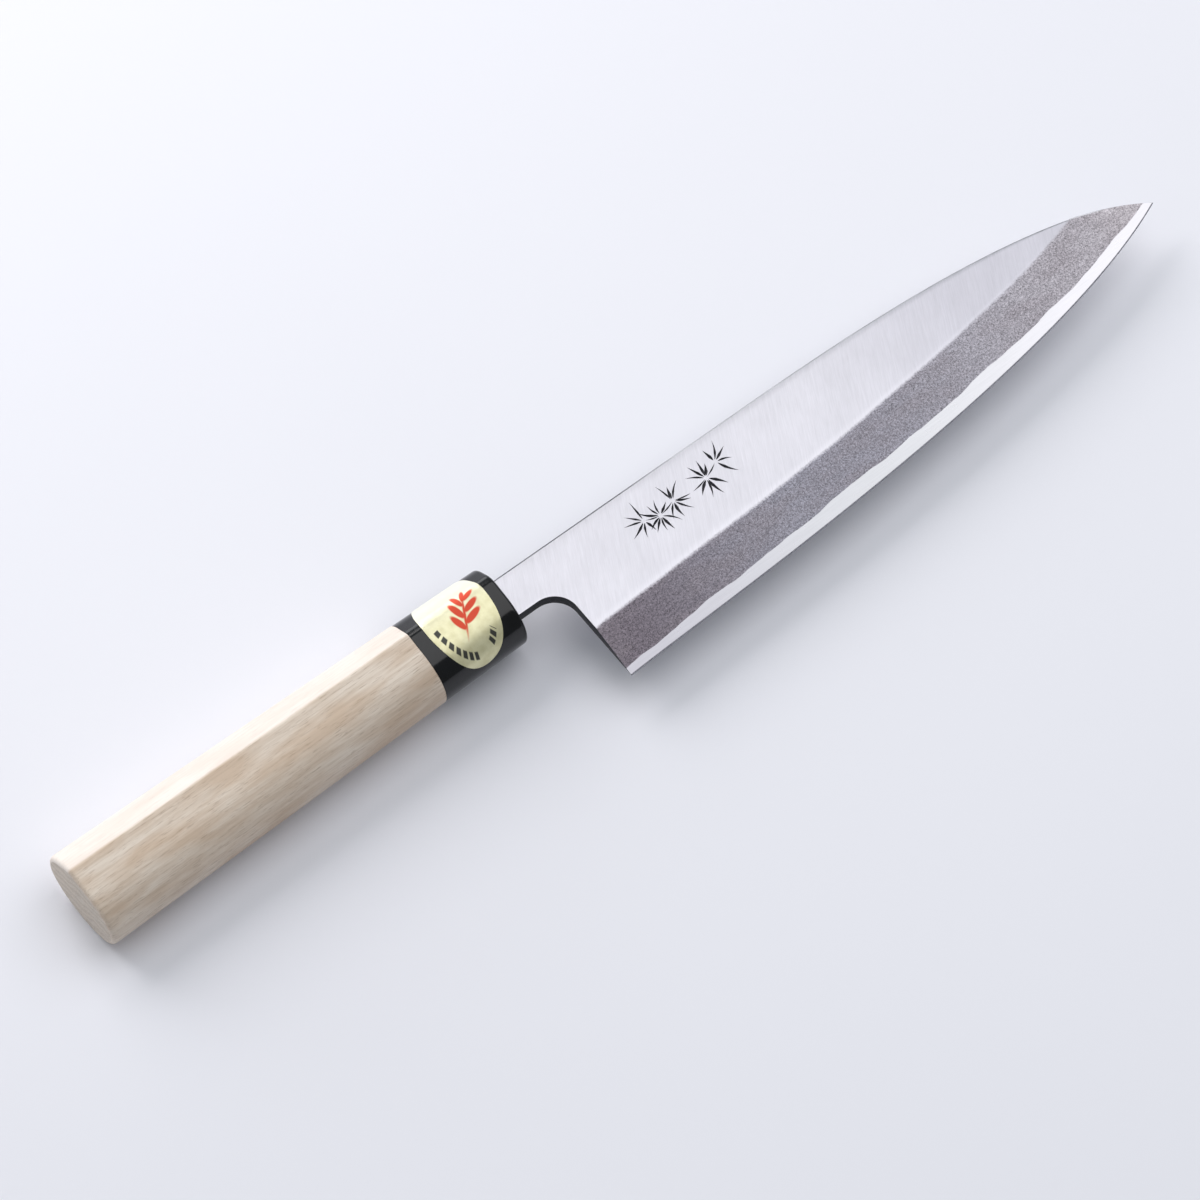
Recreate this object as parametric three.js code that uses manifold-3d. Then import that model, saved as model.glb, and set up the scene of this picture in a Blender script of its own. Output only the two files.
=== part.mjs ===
// A right-handed Japanese chef knife with a laminated single-bevel blade and a D-shaped wooden handle.
//
// The knife lies on its left side, as it does on a bench: +X runs along it from the butt to the tip, +Y points
// from the cutting edge to the spine, and +Z comes out of the right face of the blade. All sizes are in mm.
//
// Two sets of axes are used. The pieces are drawn in knife axes, whose zero is on the tang's centre line at the
// front face of the ferrule, and the last lines move them so that zero is under the middle of the whole knife.
//
// The pieces, from the tip back:
//   hagane_edge   hard steel layer, the whole back of the blade and the cutting edge
//   jigane_body   soft iron forge-welded onto it, with the shoulder, the ground bevel and the tang
//   ferrule       moulded collar, closed in front except for the mouth that takes the neck
//   label         foil oval stuck round the ridge of the ferrule
//   tang_bedding  resin that fills the burnt-in hole around the tang
//   handle_wood   magnolia handle with a turned-down tenon inside the ferrule

import * as THREE from 'three';
import { mergeVertices } from 'three/addons/utils/BufferGeometryUtils.js';
import Module from 'manifold-3d';

const wasm = await Module();
wasm.setup();

// ---------------------------------------------------------------- blade sizes

const BLADE_LENGTH = 180; // heel to tip
const NECK_LENGTH = 13; // ferrule to heel
const SPINE_Y = 6; // straight part of the spine, above the tang's centre line
const NECK_UNDERSIDE_Y = -5; // lower side of the neck
const HEEL_Y = -32.9; // cutting edge at the heel
const TIP_Y = -10.9; // tip
const CHOIL_RADIUS = 6.6; // round corner between the neck and the upright choil

const THICKNESS_AT_HEEL = 3.5;
const THICKNESS_AT_TIP = 1.8; // what the taper would leave at the tip, before the bevel is ground
const EDGE_LAND = 0.08; // flat left on the cutting edge
const BEVEL_WIDTH_AT_HEEL = 14.0; // edge to shinogi line
const BEVEL_WIDTH_AT_TIP = 15.3;

const SPINE_STRAIGHT = 60; // from the heel to where the spine starts to fall
const SPINE_CURVE_LEAD = 32; // reach of the level tangent there
const SPINE_TIP_LEAD = 26; // reach of the tangent at the tip
const SPINE_TIP_SLOPE = 0.66; // fall of the spine at the tip, per unit of length
const EDGE_HEEL_LEAD = 20;
const EDGE_HEEL_SLOPE = 0.08;
const EDGE_TIP_LEAD = 48;
const EDGE_TIP_SLOPE = 0.446;

const HAGANE_AT_HEEL = 0.85; // thickness of the hard steel layer
const HAGANE_AT_TIP = 0.46;
const HAGANE_SETBACK = 4; // bare iron between the ferrule and the hard steel
const WELD_GAP = 0.02; // between the two layers

const HOLLOW_DEPTH = 0.25; // hollow-ground back
const HOLLOW_EDGE_RIM = 1.6; // flat rim left along the edge
const HOLLOW_SPINE_RIM = 2.2; // and along the spine
const HOLLOW_HEEL_RIM = 6; // from the choil to the start of the hollow
const HOLLOW_TIP_RIM = 24; // from the end of the hollow to the tip
const HOLLOW_RUN_OUT = 18; // length over which each end of the hollow fades
const HOLLOW_ROOM = 0.02; // how far the tool that cuts it stays off the rims

// ----------------------------------------------------------------- tang sizes

const NECK_SEAT = 3; // full-size neck that sits in the ferrule's mouth
const TANG_LENGTH = 95; // from the ferrule's front face
const TANG_HEIGHT_FRONT = 9.6;
const TANG_HEIGHT_END = 5;
const TANG_THICKNESS_FRONT = 2.9;
const TANG_THICKNESS_END = 1.8;
const BEDDING_THICKNESS = 0.5;
const BEDDING_BEYOND_TANG = 4;
const MOUTH_CLEARANCE = 0.3; // ferrule mouth around the neck
const FIT_GAP = 0.05; // between parts that are pushed or cast together

// --------------------------------------------------------------- handle sizes

const HANDLE_LENGTH = 125; // with the ferrule
const FERRULE_LENGTH = 25;
const FERRULE_FRONT_WALL = 4;
const FERRULE_WALL = 2.2;
const TENON_END_GAP = 0.5; // between the tenon and the ferrule's front wall
const TENON_CLEARANCE = 0.1; // around the tenon
const FERRULE_LIP = 0.6; // chamfer on the ferrule's front rim
const BUTT_CHAMFER = 0.5;

const OVAL_POWER = 2.1; // 2 is an ellipse, more is boxier
const BUTT_WIDTH = 26.0; // spine side to edge side
const BUTT_THICKNESS = 20.1; // of the oval, without the ridge
const BUTT_CENTRE_Y = 1.25;
const BUTT_CENTRE_Z = -3.15;
const BUTT_RIDGE_Y = 5.2;
const FRONT_WIDTH = 21.4;
const FRONT_THICKNESS = 18.5;
const FRONT_CENTRE_Y = 1.05;
const FRONT_CENTRE_Z = -1.95;
const FRONT_RIDGE_Y = 4.75;
const RIDGE_RISE = 1.2; // of the ridge above the oval

// ---------------------------------------------------------------- label sizes

const LABEL_LENGTH = 18; // along the knife
const LABEL_GIRTH = 31.6; // around the ferrule
const LABEL_CENTRE_X = -12.5;
const LABEL_CENTRE_GIRTH = 2.5; // from the ridge towards the edge side
const LABEL_THICKNESS = 0.12;
const LABEL_GLUE = 0.05; // between the foil and the ferrule

// ----------------------------------------------------------------- resolution

const OVAL_STEPS = 56; // points round the oval part of the handle
const FLANK_STEPS = 4; // points on each flank beside the ridge
const CURVE_STEPS = 44; // points on the spine's and the edge's curve
const CHOIL_STEPS = 10;
const HOLLOW_STATIONS = 30;
const HOLLOW_STEPS = 8;
const TANGENT_TRIES = 900; // directions tried when a flank is laid on the oval
const OVERSHOOT = 5; // how far a cutting body runs past what it cuts

// ------------------------------------------------------------ places from them

const HEEL_X = NECK_LENGTH;
const TIP_X = HEEL_X + BLADE_LENGTH;
const BACK_Z = -THICKNESS_AT_HEEL / 2; // plane of the flat back
const BUTT_X = -HANDLE_LENGTH;
const JUNCTION_X = -FERRULE_LENGTH; // shoulder between wood and ferrule
const NECK_CENTRE_Y = (SPINE_Y + NECK_UNDERSIDE_Y) / 2;

// -------------------------------------------------------------- solid plumbing

function toSolid(geometry) {
  const bare = geometry.clone();
  bare.deleteAttribute('normal');
  bare.deleteAttribute('uv');
  const merged = mergeVertices(bare, 1e-4);
  return new wasm.Manifold(new wasm.Mesh({
    numProp: 3,
    vertProperties: new Float32Array(merged.attributes.position.array),
    triVerts: new Uint32Array(merged.index.array),
  }));
}

function toGeometry(solid) {
  const mesh = solid.getMesh();
  const geometry = new THREE.BufferGeometry();
  geometry.setAttribute('position', new THREE.BufferAttribute(mesh.vertProperties, 3));
  geometry.setIndex(new THREE.BufferAttribute(mesh.triVerts, 1));
  geometry.computeVertexNormals();
  return geometry;
}

// Closed body through a row of cross-sections. A section is { x, outline }, its outline holds Vector2(y, z) points
// that run anticlockwise seen from +X, and every section has as many points as the first.
function loft(sections) {
  const positions = [];
  const index = [];
  const around = sections[0].outline.length;
  for (const { x, outline } of sections) {
    for (const point of outline) positions.push(x, point.x, point.y);
  }
  for (let i = 0; i < sections.length - 1; i++) {
    for (let j = 0; j < around; j++) {
      const next = (j + 1) % around;
      const a = i * around + j;
      const b = i * around + next;
      const c = (i + 1) * around + next;
      const d = (i + 1) * around + j;
      index.push(a, b, c, a, c, d);
    }
  }
  const lastRow = (sections.length - 1) * around;
  for (const [a, b, c] of THREE.ShapeUtils.triangulateShape(sections[0].outline, [])) index.push(a, c, b);
  for (const [a, b, c] of THREE.ShapeUtils.triangulateShape(sections.at(-1).outline, [])) {
    index.push(lastRow + a, lastRow + b, lastRow + c);
  }
  const geometry = new THREE.BufferGeometry();
  geometry.setAttribute('position', new THREE.Float32BufferAttribute(positions, 3));
  geometry.setIndex(index);
  return geometry;
}

function rectangle(yLow, yHigh, zLow, zHigh) {
  return [
    new THREE.Vector2(yLow, zLow),
    new THREE.Vector2(yHigh, zLow),
    new THREE.Vector2(yHigh, zHigh),
    new THREE.Vector2(yLow, zHigh),
  ];
}

function centredRectangle(yCentre, zCentre, height, thickness) {
  return rectangle(yCentre - height / 2, yCentre + height / 2, zCentre - thickness / 2, zCentre + thickness / 2);
}

function block(xLow, xHigh, outline) {
  return toSolid(loft([{ x: xLow, outline }, { x: xHigh, outline }]));
}

const mix = THREE.MathUtils.lerp;

// ----------------------------------------------------------------- blade lines

function spineCurve() {
  const start = HEEL_X + SPINE_STRAIGHT;
  return new THREE.CubicBezierCurve(
    new THREE.Vector2(start, SPINE_Y),
    new THREE.Vector2(start + SPINE_CURVE_LEAD, SPINE_Y),
    new THREE.Vector2(TIP_X - SPINE_TIP_LEAD, TIP_Y + SPINE_TIP_SLOPE * SPINE_TIP_LEAD),
    new THREE.Vector2(TIP_X, TIP_Y),
  );
}

function edgeCurve() {
  return new THREE.CubicBezierCurve(
    new THREE.Vector2(HEEL_X, HEEL_Y),
    new THREE.Vector2(HEEL_X + EDGE_HEEL_LEAD, HEEL_Y + EDGE_HEEL_SLOPE * EDGE_HEEL_LEAD),
    new THREE.Vector2(TIP_X - EDGE_TIP_LEAD, TIP_Y - EDGE_TIP_SLOPE * EDGE_TIP_LEAD),
    new THREE.Vector2(TIP_X, TIP_Y),
  );
}

// Height of a curve, whose x always grows, at a given x.
function heightAt(curve, x) {
  let low = 0;
  let high = 1;
  for (let i = 0; i < 40; i++) {
    const middle = (low + high) / 2;
    if (curve.getPoint(middle).x < x) low = middle;
    else high = middle;
  }
  return curve.getPoint(high).y;
}

function spineHeight(x) {
  return x <= HEEL_X + SPINE_STRAIGHT ? SPINE_Y : heightAt(spineCurve(), x);
}

// Upright side view of the blade and neck, with a short stub that lies in the ferrule's mouth.
function bladeOutline() {
  const shape = new THREE.Shape();
  const choilCentreX = HEEL_X - CHOIL_RADIUS;
  const choilCentreY = NECK_UNDERSIDE_Y - CHOIL_RADIUS;
  shape.moveTo(-NECK_SEAT, NECK_UNDERSIDE_Y);
  shape.lineTo(choilCentreX, NECK_UNDERSIDE_Y);
  for (let i = 1; i <= CHOIL_STEPS; i++) {
    const angle = (Math.PI / 2) * (1 - i / CHOIL_STEPS);
    shape.lineTo(choilCentreX + CHOIL_RADIUS * Math.cos(angle), choilCentreY + CHOIL_RADIUS * Math.sin(angle));
  }
  shape.lineTo(HEEL_X, HEEL_Y);
  for (const point of edgeCurve().getPoints(CURVE_STEPS).slice(1)) shape.lineTo(point.x, point.y);
  for (const point of spineCurve().getPoints(CURVE_STEPS).reverse().slice(1)) shape.lineTo(point.x, point.y);
  shape.lineTo(-NECK_SEAT, SPINE_Y);
  return shape;
}

// Distance between the flat back and the right face, before the bevel is ground.
function thicknessAt(x) {
  return mix(THICKNESS_AT_HEEL, THICKNESS_AT_TIP, (x - HEEL_X) / BLADE_LENGTH);
}

function bevelWidthAt(x) {
  return mix(BEVEL_WIDTH_AT_HEEL, BEVEL_WIDTH_AT_TIP, (x - HEEL_X) / BLADE_LENGTH);
}

// Everything that grinding takes off the right side: above the tapered flat, and above the bevel from the shinogi
// line down to the land on the cutting edge.
function rightFaceGrind() {
  const stations = edgeCurve().getPoints(CURVE_STEPS);
  stations.unshift(new THREE.Vector2(-NECK_SEAT - OVERSHOOT, HEEL_Y));
  stations.push(new THREE.Vector2(TIP_X + OVERSHOOT, TIP_Y));
  const ceiling = THICKNESS_AT_HEEL + OVERSHOOT;
  return toSolid(loft(stations.map(({ x, y }) => {
    const faceZ = BACK_Z + thicknessAt(x);
    const width = bevelWidthAt(Math.max(x, HEEL_X));
    const slope = (thicknessAt(x) - EDGE_LAND) / width;
    return {
      x,
      outline: [
        new THREE.Vector2(y - OVERSHOOT, BACK_Z + EDGE_LAND - slope * OVERSHOOT),
        new THREE.Vector2(y + width, faceZ),
        new THREE.Vector2(SPINE_Y + OVERSHOOT, faceZ),
        new THREE.Vector2(SPINE_Y + OVERSHOOT, ceiling),
        new THREE.Vector2(y - OVERSHOOT, ceiling),
      ],
    };
  })));
}

// The shallow hollow in the back, which fades out at both ends and leaves a flat rim all round.
function backHollow() {
  const start = HEEL_X + HOLLOW_HEEL_RIM;
  const end = TIP_X - HOLLOW_TIP_RIM;
  const edge = edgeCurve();
  const sections = [];
  for (let i = 0; i <= HOLLOW_STATIONS; i++) {
    const x = mix(start, end, i / HOLLOW_STATIONS);
    const fade = Math.min(1, (x - start) / HOLLOW_RUN_OUT, (end - x) / HOLLOW_RUN_OUT);
    const depth = HOLLOW_DEPTH * Math.sin((Math.PI / 2) * fade);
    const low = heightAt(edge, x) + HOLLOW_EDGE_RIM;
    const high = spineHeight(x) - HOLLOW_SPINE_RIM;
    const outline = [new THREE.Vector2(low, BACK_Z - OVERSHOOT), new THREE.Vector2(high, BACK_Z - OVERSHOOT)];
    for (let j = 0; j <= HOLLOW_STEPS; j++) {
      const across = j / HOLLOW_STEPS;
      const cut = (depth + HOLLOW_ROOM) * (1 - (2 * across - 1) ** 2) - HOLLOW_ROOM;
      outline.push(new THREE.Vector2(mix(high, low, across), BACK_Z + cut));
    }
    sections.push({ x, outline });
  }
  return toSolid(loft(sections));
}

function bladeBlank() {
  const plate = new THREE.ExtrudeGeometry(bladeOutline(), { depth: THICKNESS_AT_HEEL + 1, bevelEnabled: false });
  plate.translate(0, 0, BACK_Z);
  return toSolid(plate).subtract(rightFaceGrind()).subtract(backHollow());
}

// Zone of the hard steel, which gets thinner towards the tip, grown by a gap on its top and back end.
function haganeZone(gap) {
  return toSolid(loft([HAGANE_SETBACK - gap, TIP_X + OVERSHOOT].map((x) => {
    const top = BACK_Z + mix(HAGANE_AT_HEEL, HAGANE_AT_TIP, (x - HEEL_X) / BLADE_LENGTH) + gap;
    return { x, outline: rectangle(HEEL_Y - OVERSHOOT, SPINE_Y + OVERSHOOT, BACK_Z - OVERSHOOT, top) };
  })));
}

// ------------------------------------------------------------------------ tang

// Height and thickness of the tang at x, each grown by twice the margin.
function tangOutline(x, margin) {
  const along = (-NECK_SEAT - x) / (TANG_LENGTH - NECK_SEAT);
  const height = mix(TANG_HEIGHT_FRONT, TANG_HEIGHT_END, along) + 2 * margin;
  const thickness = mix(TANG_THICKNESS_FRONT, TANG_THICKNESS_END, along) + 2 * margin;
  return centredRectangle(NECK_CENTRE_Y, 0, height, thickness);
}

function tangBody(xFront, xEnd, margin) {
  return toSolid(loft([
    { x: xEnd, outline: tangOutline(xEnd, margin) },
    { x: xFront, outline: tangOutline(xFront, margin) },
  ]));
}

// Hole through the tenon and into the wood, and the same hole in the back of the ferrule's front wall.
function tangHole(xFront) {
  return tangBody(xFront, -TANG_LENGTH - BEDDING_BEYOND_TANG - FIT_GAP, BEDDING_THICKNESS + FIT_GAP);
}

// ---------------------------------------------------------------------- handle

// Sizes of the handle's oval at x, with its outside moved in by the inset.
function ovalAt(x, inset) {
  const back = -x / HANDLE_LENGTH;
  return {
    halfWidth: mix(FRONT_WIDTH, BUTT_WIDTH, back) / 2 - inset,
    halfThickness: mix(FRONT_THICKNESS, BUTT_THICKNESS, back) / 2 - inset,
    centreY: mix(FRONT_CENTRE_Y, BUTT_CENTRE_Y, back),
    centreZ: mix(FRONT_CENTRE_Z, BUTT_CENTRE_Z, back),
    ridgeY: mix(FRONT_RIDGE_Y, BUTT_RIDGE_Y, back),
  };
}

function ovalPoint(oval, angle) {
  const c = Math.cos(angle);
  const s = Math.sin(angle);
  return new THREE.Vector2(
    oval.centreY + oval.halfWidth * Math.sign(c) * Math.abs(c) ** (2 / OVAL_POWER),
    oval.centreZ + oval.halfThickness * Math.sign(s) * Math.abs(s) ** (2 / OVAL_POWER),
  );
}

function ridgePoint(oval) {
  const reach = Math.abs((oval.ridgeY - oval.centreY) / oval.halfWidth);
  const top = oval.centreZ + oval.halfThickness * (1 - reach ** OVAL_POWER) ** (1 / OVAL_POWER);
  return new THREE.Vector2(oval.ridgeY, top + RIDGE_RISE);
}

// Angle on the oval where a flank that falls from the ridge touches it: side 1 is the spine side, -1 the edge side.
function flankAngle(oval, side) {
  const ridge = ridgePoint(oval);
  let best = Math.PI / 2;
  let steepest = Infinity;
  for (let i = 0; i <= TANGENT_TRIES; i++) {
    const angle = Math.PI / 2 - side * (Math.PI / 2) * (i / TANGENT_TRIES);
    const point = ovalPoint(oval, angle);
    const out = side * (point.x - ridge.x);
    const fall = (ridge.y - point.y) / out;
    if (out > 0 && fall < steepest) {
      steepest = fall;
      best = angle;
    }
  }
  return best;
}

// D-shaped section: the oval, with two flanks that run from it up to the ridge.
function handleOutline(x, inset = 0) {
  const oval = ovalAt(x, inset);
  const ridge = ridgePoint(oval);
  const from = flankAngle(oval, -1);
  const to = flankAngle(oval, 1) + 2 * Math.PI;
  const outline = [];
  for (let i = 0; i <= OVAL_STEPS; i++) outline.push(ovalPoint(oval, mix(from, to, i / OVAL_STEPS)));
  const first = outline[0];
  const last = outline.at(-1);
  for (let i = 1; i <= FLANK_STEPS; i++) outline.push(last.clone().lerp(ridge, i / FLANK_STEPS));
  for (let i = 1; i < FLANK_STEPS; i++) outline.push(ridge.clone().lerp(first, i / FLANK_STEPS));
  return outline;
}

// Section of the tenon and of the bore that takes it: the oval without the ridge.
function tenonOutline(x, inset) {
  const oval = ovalAt(x, inset);
  const outline = [];
  for (let i = 0; i < OVAL_STEPS; i++) outline.push(ovalPoint(oval, (i / OVAL_STEPS) * 2 * Math.PI));
  return outline;
}

function tenonBody(xBack, xFront, inset) {
  return toSolid(loft([
    { x: xBack, outline: tenonOutline(xBack, inset) },
    { x: xFront, outline: tenonOutline(xFront, inset) },
  ]));
}

function handleBody(xBack, xFront, backChamfer, frontChamfer) {
  const sections = [
    { x: xBack, outline: handleOutline(xBack, backChamfer) },
    { x: xFront, outline: handleOutline(xFront, frontChamfer) },
  ];
  if (backChamfer > 0) sections.splice(1, 0, { x: xBack + backChamfer, outline: handleOutline(xBack + backChamfer) });
  if (frontChamfer > 0) {
    sections.splice(-1, 0, { x: xFront - frontChamfer, outline: handleOutline(xFront - frontChamfer) });
  }
  return toSolid(loft(sections));
}

// ----------------------------------------------------------------------- label

// The foil follows the flat strips of the ferrule between its lengthwise lines, so it lies flat on each of them.
function labelGeometry() {
  const outlineMiddle = handleOutline(LABEL_CENTRE_X);
  const ridgeIndex = OVAL_STEPS + FLANK_STEPS;
  const count = outlineMiddle.length;
  const stations = [];
  // girth runs from the ridge towards the edge side, which is the way the outline runs on from the ridge
  for (const direction of [-1, 1]) {
    let girth = 0;
    for (let step = direction > 0 ? 0 : 1; step < count / 2; step++) {
      const here = (ridgeIndex + direction * step + count) % count;
      const before = (here - direction + count) % count;
      if (step > 0) girth += direction * outlineMiddle[here].distanceTo(outlineMiddle[before]);
      const offCentre = (girth - LABEL_CENTRE_GIRTH) / (LABEL_GIRTH / 2);
      if (Math.abs(offCentre) < 1) stations.push({ here, girth, reach: Math.sqrt(1 - offCentre ** 2) });
    }
  }
  stations.sort((a, b) => a.girth - b.girth);
  const positions = [];
  for (const lift of [LABEL_GLUE, LABEL_GLUE + LABEL_THICKNESS]) {
    for (const { here, reach } of stations) {
      for (const side of [-1, 1]) {
        const x = LABEL_CENTRE_X + side * reach * LABEL_LENGTH / 2;
        const point = liftedPoint(handleOutline(x), here, lift);
        positions.push(x, point.x, point.y);
      }
    }
  }
  return new THREE.BufferGeometry()
    .setAttribute('position', new THREE.Float32BufferAttribute(positions, 3))
    .setIndex(labelFaces(stations.length));
}

// Point of an outline moved straight out by the lift from both of its neighbouring sides.
function liftedPoint(outline, index, lift) {
  const here = outline[index];
  const before = outline[(index - 1 + outline.length) % outline.length];
  const after = outline[(index + 1) % outline.length];
  const into = here.clone().sub(before).normalize();
  const away = after.clone().sub(here).normalize();
  const normalBefore = new THREE.Vector2(into.y, -into.x);
  const normalAfter = new THREE.Vector2(away.y, -away.x);
  const bisector = normalBefore.clone().add(normalAfter).normalize();
  return here.clone().addScaledVector(bisector, lift / bisector.dot(normalAfter));
}

// Faces of a strip of rows, two points to a row, with a lower and an upper layer.
function labelFaces(rows) {
  const upper = 2 * rows;
  const index = [];
  for (let i = 0; i < rows - 1; i++) {
    const low = 2 * i;
    const next = low + 2;
    // upper side, lower side, then the left and the right wall
    index.push(upper + low, upper + next, upper + next + 1, upper + low, upper + next + 1, upper + low + 1);
    index.push(low, next + 1, next, low, low + 1, next + 1);
    index.push(low, next, upper + next, low, upper + next, upper + low);
    index.push(low + 1, upper + next + 1, next + 1, low + 1, upper + low + 1, upper + next + 1);
  }
  const end = 2 * (rows - 1);
  index.push(0, upper, upper + 1, 0, upper + 1, 1);
  index.push(end, end + 1, upper + end + 1, end, upper + end + 1, upper + end);
  return index;
}

// ---------------------------------------------------------------------- pieces

function piece(name, geometry, colour, roughness, metalness) {
  const material = new THREE.MeshStandardMaterial({ color: colour, roughness, metalness });
  const mesh = new THREE.Mesh(geometry, material);
  mesh.name = name;
  return mesh;
}

function haganeEdge(blank) {
  return piece('hagane_edge', toGeometry(blank.intersect(haganeZone(0))), 0xdcdde3, 0.22, 1);
}

function jiganeBody(blank) {
  const tang = tangBody(-NECK_SEAT + 1, -TANG_LENGTH, 0);
  return piece('jigane_body', toGeometry(blank.subtract(haganeZone(WELD_GAP)).add(tang)), 0x9c99a4, 0.5, 1);
}

function ferrule() {
  const mouthHeight = Math.max(SPINE_Y - NECK_UNDERSIDE_Y, TANG_HEIGHT_FRONT) + 2 * MOUTH_CLEARANCE;
  const neckThickness = thicknessAt(0);
  const mouthZ = BACK_Z + neckThickness / 2;
  const mouth = centredRectangle(NECK_CENTRE_Y, mouthZ, mouthHeight, neckThickness + 2 * MOUTH_CLEARANCE);
  const solid = handleBody(JUNCTION_X, 0, 0, FERRULE_LIP)
    .subtract(tenonBody(JUNCTION_X - 1, -FERRULE_FRONT_WALL, FERRULE_WALL))
    .subtract(block(-NECK_SEAT - FIT_GAP, 1, mouth))
    .subtract(tangHole(-NECK_SEAT + FIT_GAP));
  return piece('ferrule', toGeometry(solid), 0x0c0d11, 0.18, 0);
}

function tangBedding() {
  const front = -NECK_SEAT - 2 * FIT_GAP;
  const end = -TANG_LENGTH - BEDDING_BEYOND_TANG;
  const solid = tangBody(front, end, BEDDING_THICKNESS)
    .subtract(tangBody(front + 1, -TANG_LENGTH - FIT_GAP, FIT_GAP));
  return piece('tang_bedding', toGeometry(solid), 0x6b5a41, 0.6, 0);
}

function handleWood() {
  const tenonFront = -FERRULE_FRONT_WALL - TENON_END_GAP;
  const solid = handleBody(BUTT_X, JUNCTION_X - FIT_GAP, BUTT_CHAMFER, 0)
    .add(tenonBody(JUNCTION_X - 1, tenonFront, FERRULE_WALL + TENON_CLEARANCE))
    .subtract(tangHole(0));
  return piece('handle_wood', toGeometry(solid), 0xd9cbb6, 0.7, 0);
}

function label() {
  return piece('label', toGeometry(toSolid(labelGeometry())), 0xc9be82, 0.3, 0.6);
}

// -------------------------------------------------------------------- the part

const blank = bladeBlank();
const knife = new THREE.Group();
knife.add(haganeEdge(blank), jiganeBody(blank), ferrule(), label(), tangBedding(), handleWood());

// zero goes under the middle of the knife, on the surface that it lies on
const box = new THREE.Box3().setFromObject(knife);
const middle = box.getCenter(new THREE.Vector3());
knife.position.set(-middle.x, -middle.y, -box.min.z);

const group = new THREE.Group();
group.add(knife);

export default group;
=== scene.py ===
# Looks of the right-handed chef knife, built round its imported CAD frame.
#
# Shapes are written in knife axes, in millimetres. Zero is at the front face of the ferrule, SPINE_Y below
# the spine and midway through the blade at the heel. x runs to the tip, y to the spine, z out of the right
# face. shift moves them into the row frame.

import math
import random

import bmesh
import bpy
import numpy as np
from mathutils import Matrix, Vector


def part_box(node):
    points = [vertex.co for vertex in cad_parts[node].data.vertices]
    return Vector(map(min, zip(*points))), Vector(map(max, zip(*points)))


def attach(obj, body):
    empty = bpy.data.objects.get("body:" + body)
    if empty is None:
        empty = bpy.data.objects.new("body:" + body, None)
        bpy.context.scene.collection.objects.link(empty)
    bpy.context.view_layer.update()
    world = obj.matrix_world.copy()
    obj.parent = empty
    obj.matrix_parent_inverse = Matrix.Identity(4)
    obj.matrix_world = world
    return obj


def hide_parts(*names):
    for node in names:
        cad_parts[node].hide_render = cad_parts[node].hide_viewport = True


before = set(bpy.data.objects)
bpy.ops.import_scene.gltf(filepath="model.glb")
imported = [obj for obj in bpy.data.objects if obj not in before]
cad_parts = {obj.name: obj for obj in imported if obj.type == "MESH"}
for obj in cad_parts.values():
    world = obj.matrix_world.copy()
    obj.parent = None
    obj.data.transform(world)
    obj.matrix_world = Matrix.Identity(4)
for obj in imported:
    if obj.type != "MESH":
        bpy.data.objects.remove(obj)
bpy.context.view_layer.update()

MM = 0.001
SMOOTH_ANGLE = 30.0

# -------- sizes, in mm

BLADE_LENGTH = 180.0
HEEL_X = 13.0
TIP_X = HEEL_X + BLADE_LENGTH
SPINE_Y = 6.0
NECK_UNDERSIDE_Y = -5.0
HEEL_Y = -32.9
TIP_Y = -10.9
CHOIL_RADIUS = 6.6
THICKNESS_AT_HEEL = 3.5
THICKNESS_AT_TIP = 1.8
BACK_Z = -THICKNESS_AT_HEEL / 2
EDGE_LAND = 0.03
BEVEL_AT_HEEL = 14.0
BEVEL_AT_TIP = 15.3
MICRO_BEVEL = 0.32
INNER_ROW = 3.0  # of the weld face's points, above the weld line
HAGANE_AT_HEEL = 0.85
HAGANE_AT_TIP = 0.46
HAGANE_SETBACK = 4.0
WELD_GAP = 0.02
NECK_SEAT = 3.0
SPINE_ROUND = 0.45
CHOIL_ROUND = 0.22
HOLLOW_DEPTH = 0.25

TANG_LENGTH = 95.0
TANG_HEIGHT = (9.6, 5.0)
TANG_THICKNESS = (2.9, 1.8)
TANG_CENTRE_Y = (SPINE_Y + NECK_UNDERSIDE_Y) / 2

HANDLE_LENGTH = 125.0
FERRULE_LENGTH = 25.0
FERRULE_FRONT_WALL = 4.0
FERRULE_WALL = 2.2
FERRULE_LIP = 0.9
MOUTH_CLEARANCE = 0.3
GLUE_GAP = 0.05
SLOT_MARGIN = 0.55
SLOT_REACH = 4.05  # past the tang's end
BUTT_CHAMFER = 1.15
WOOD_PROUD = 0.1
OVAL_POWER = 2.1
FRONT = {"width": 21.4, "thickness": 18.5, "y": 1.05, "z": -1.95, "ridge": 4.75}
BUTT = {"width": 26.0, "thickness": 20.1, "y": 1.25, "z": -3.15, "ridge": 5.2}
RIDGE_RISE = 1.2
RIDGE_ROUND_WOOD = 0.6
RIDGE_ROUND_COLLAR = 2.0

LABEL_LENGTH = 18.0
LABEL_GIRTH = 31.6
LABEL_CENTRE_X = -12.5
LABEL_CENTRE_GIRTH = 2.5
LABEL_THICKNESS = 0.12
LABEL_GLUE = 0.03
LABEL_SMOOTH_ANGLE = 40.0

hard_low, hard_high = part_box("hagane_edge")
shift = np.array([
    hard_high.x / MM - TIP_X,
    hard_high.y / MM - SPINE_Y,
    hard_low.z / MM - BACK_Z,
])


def place(point):
    """A point in knife axes as a vector in the row frame, in metres."""
    return Vector((np.array(point, float) + shift) * MM)


def between(a, b, share):
    return a + (b - a) * share


# -------- mesh helpers


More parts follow.
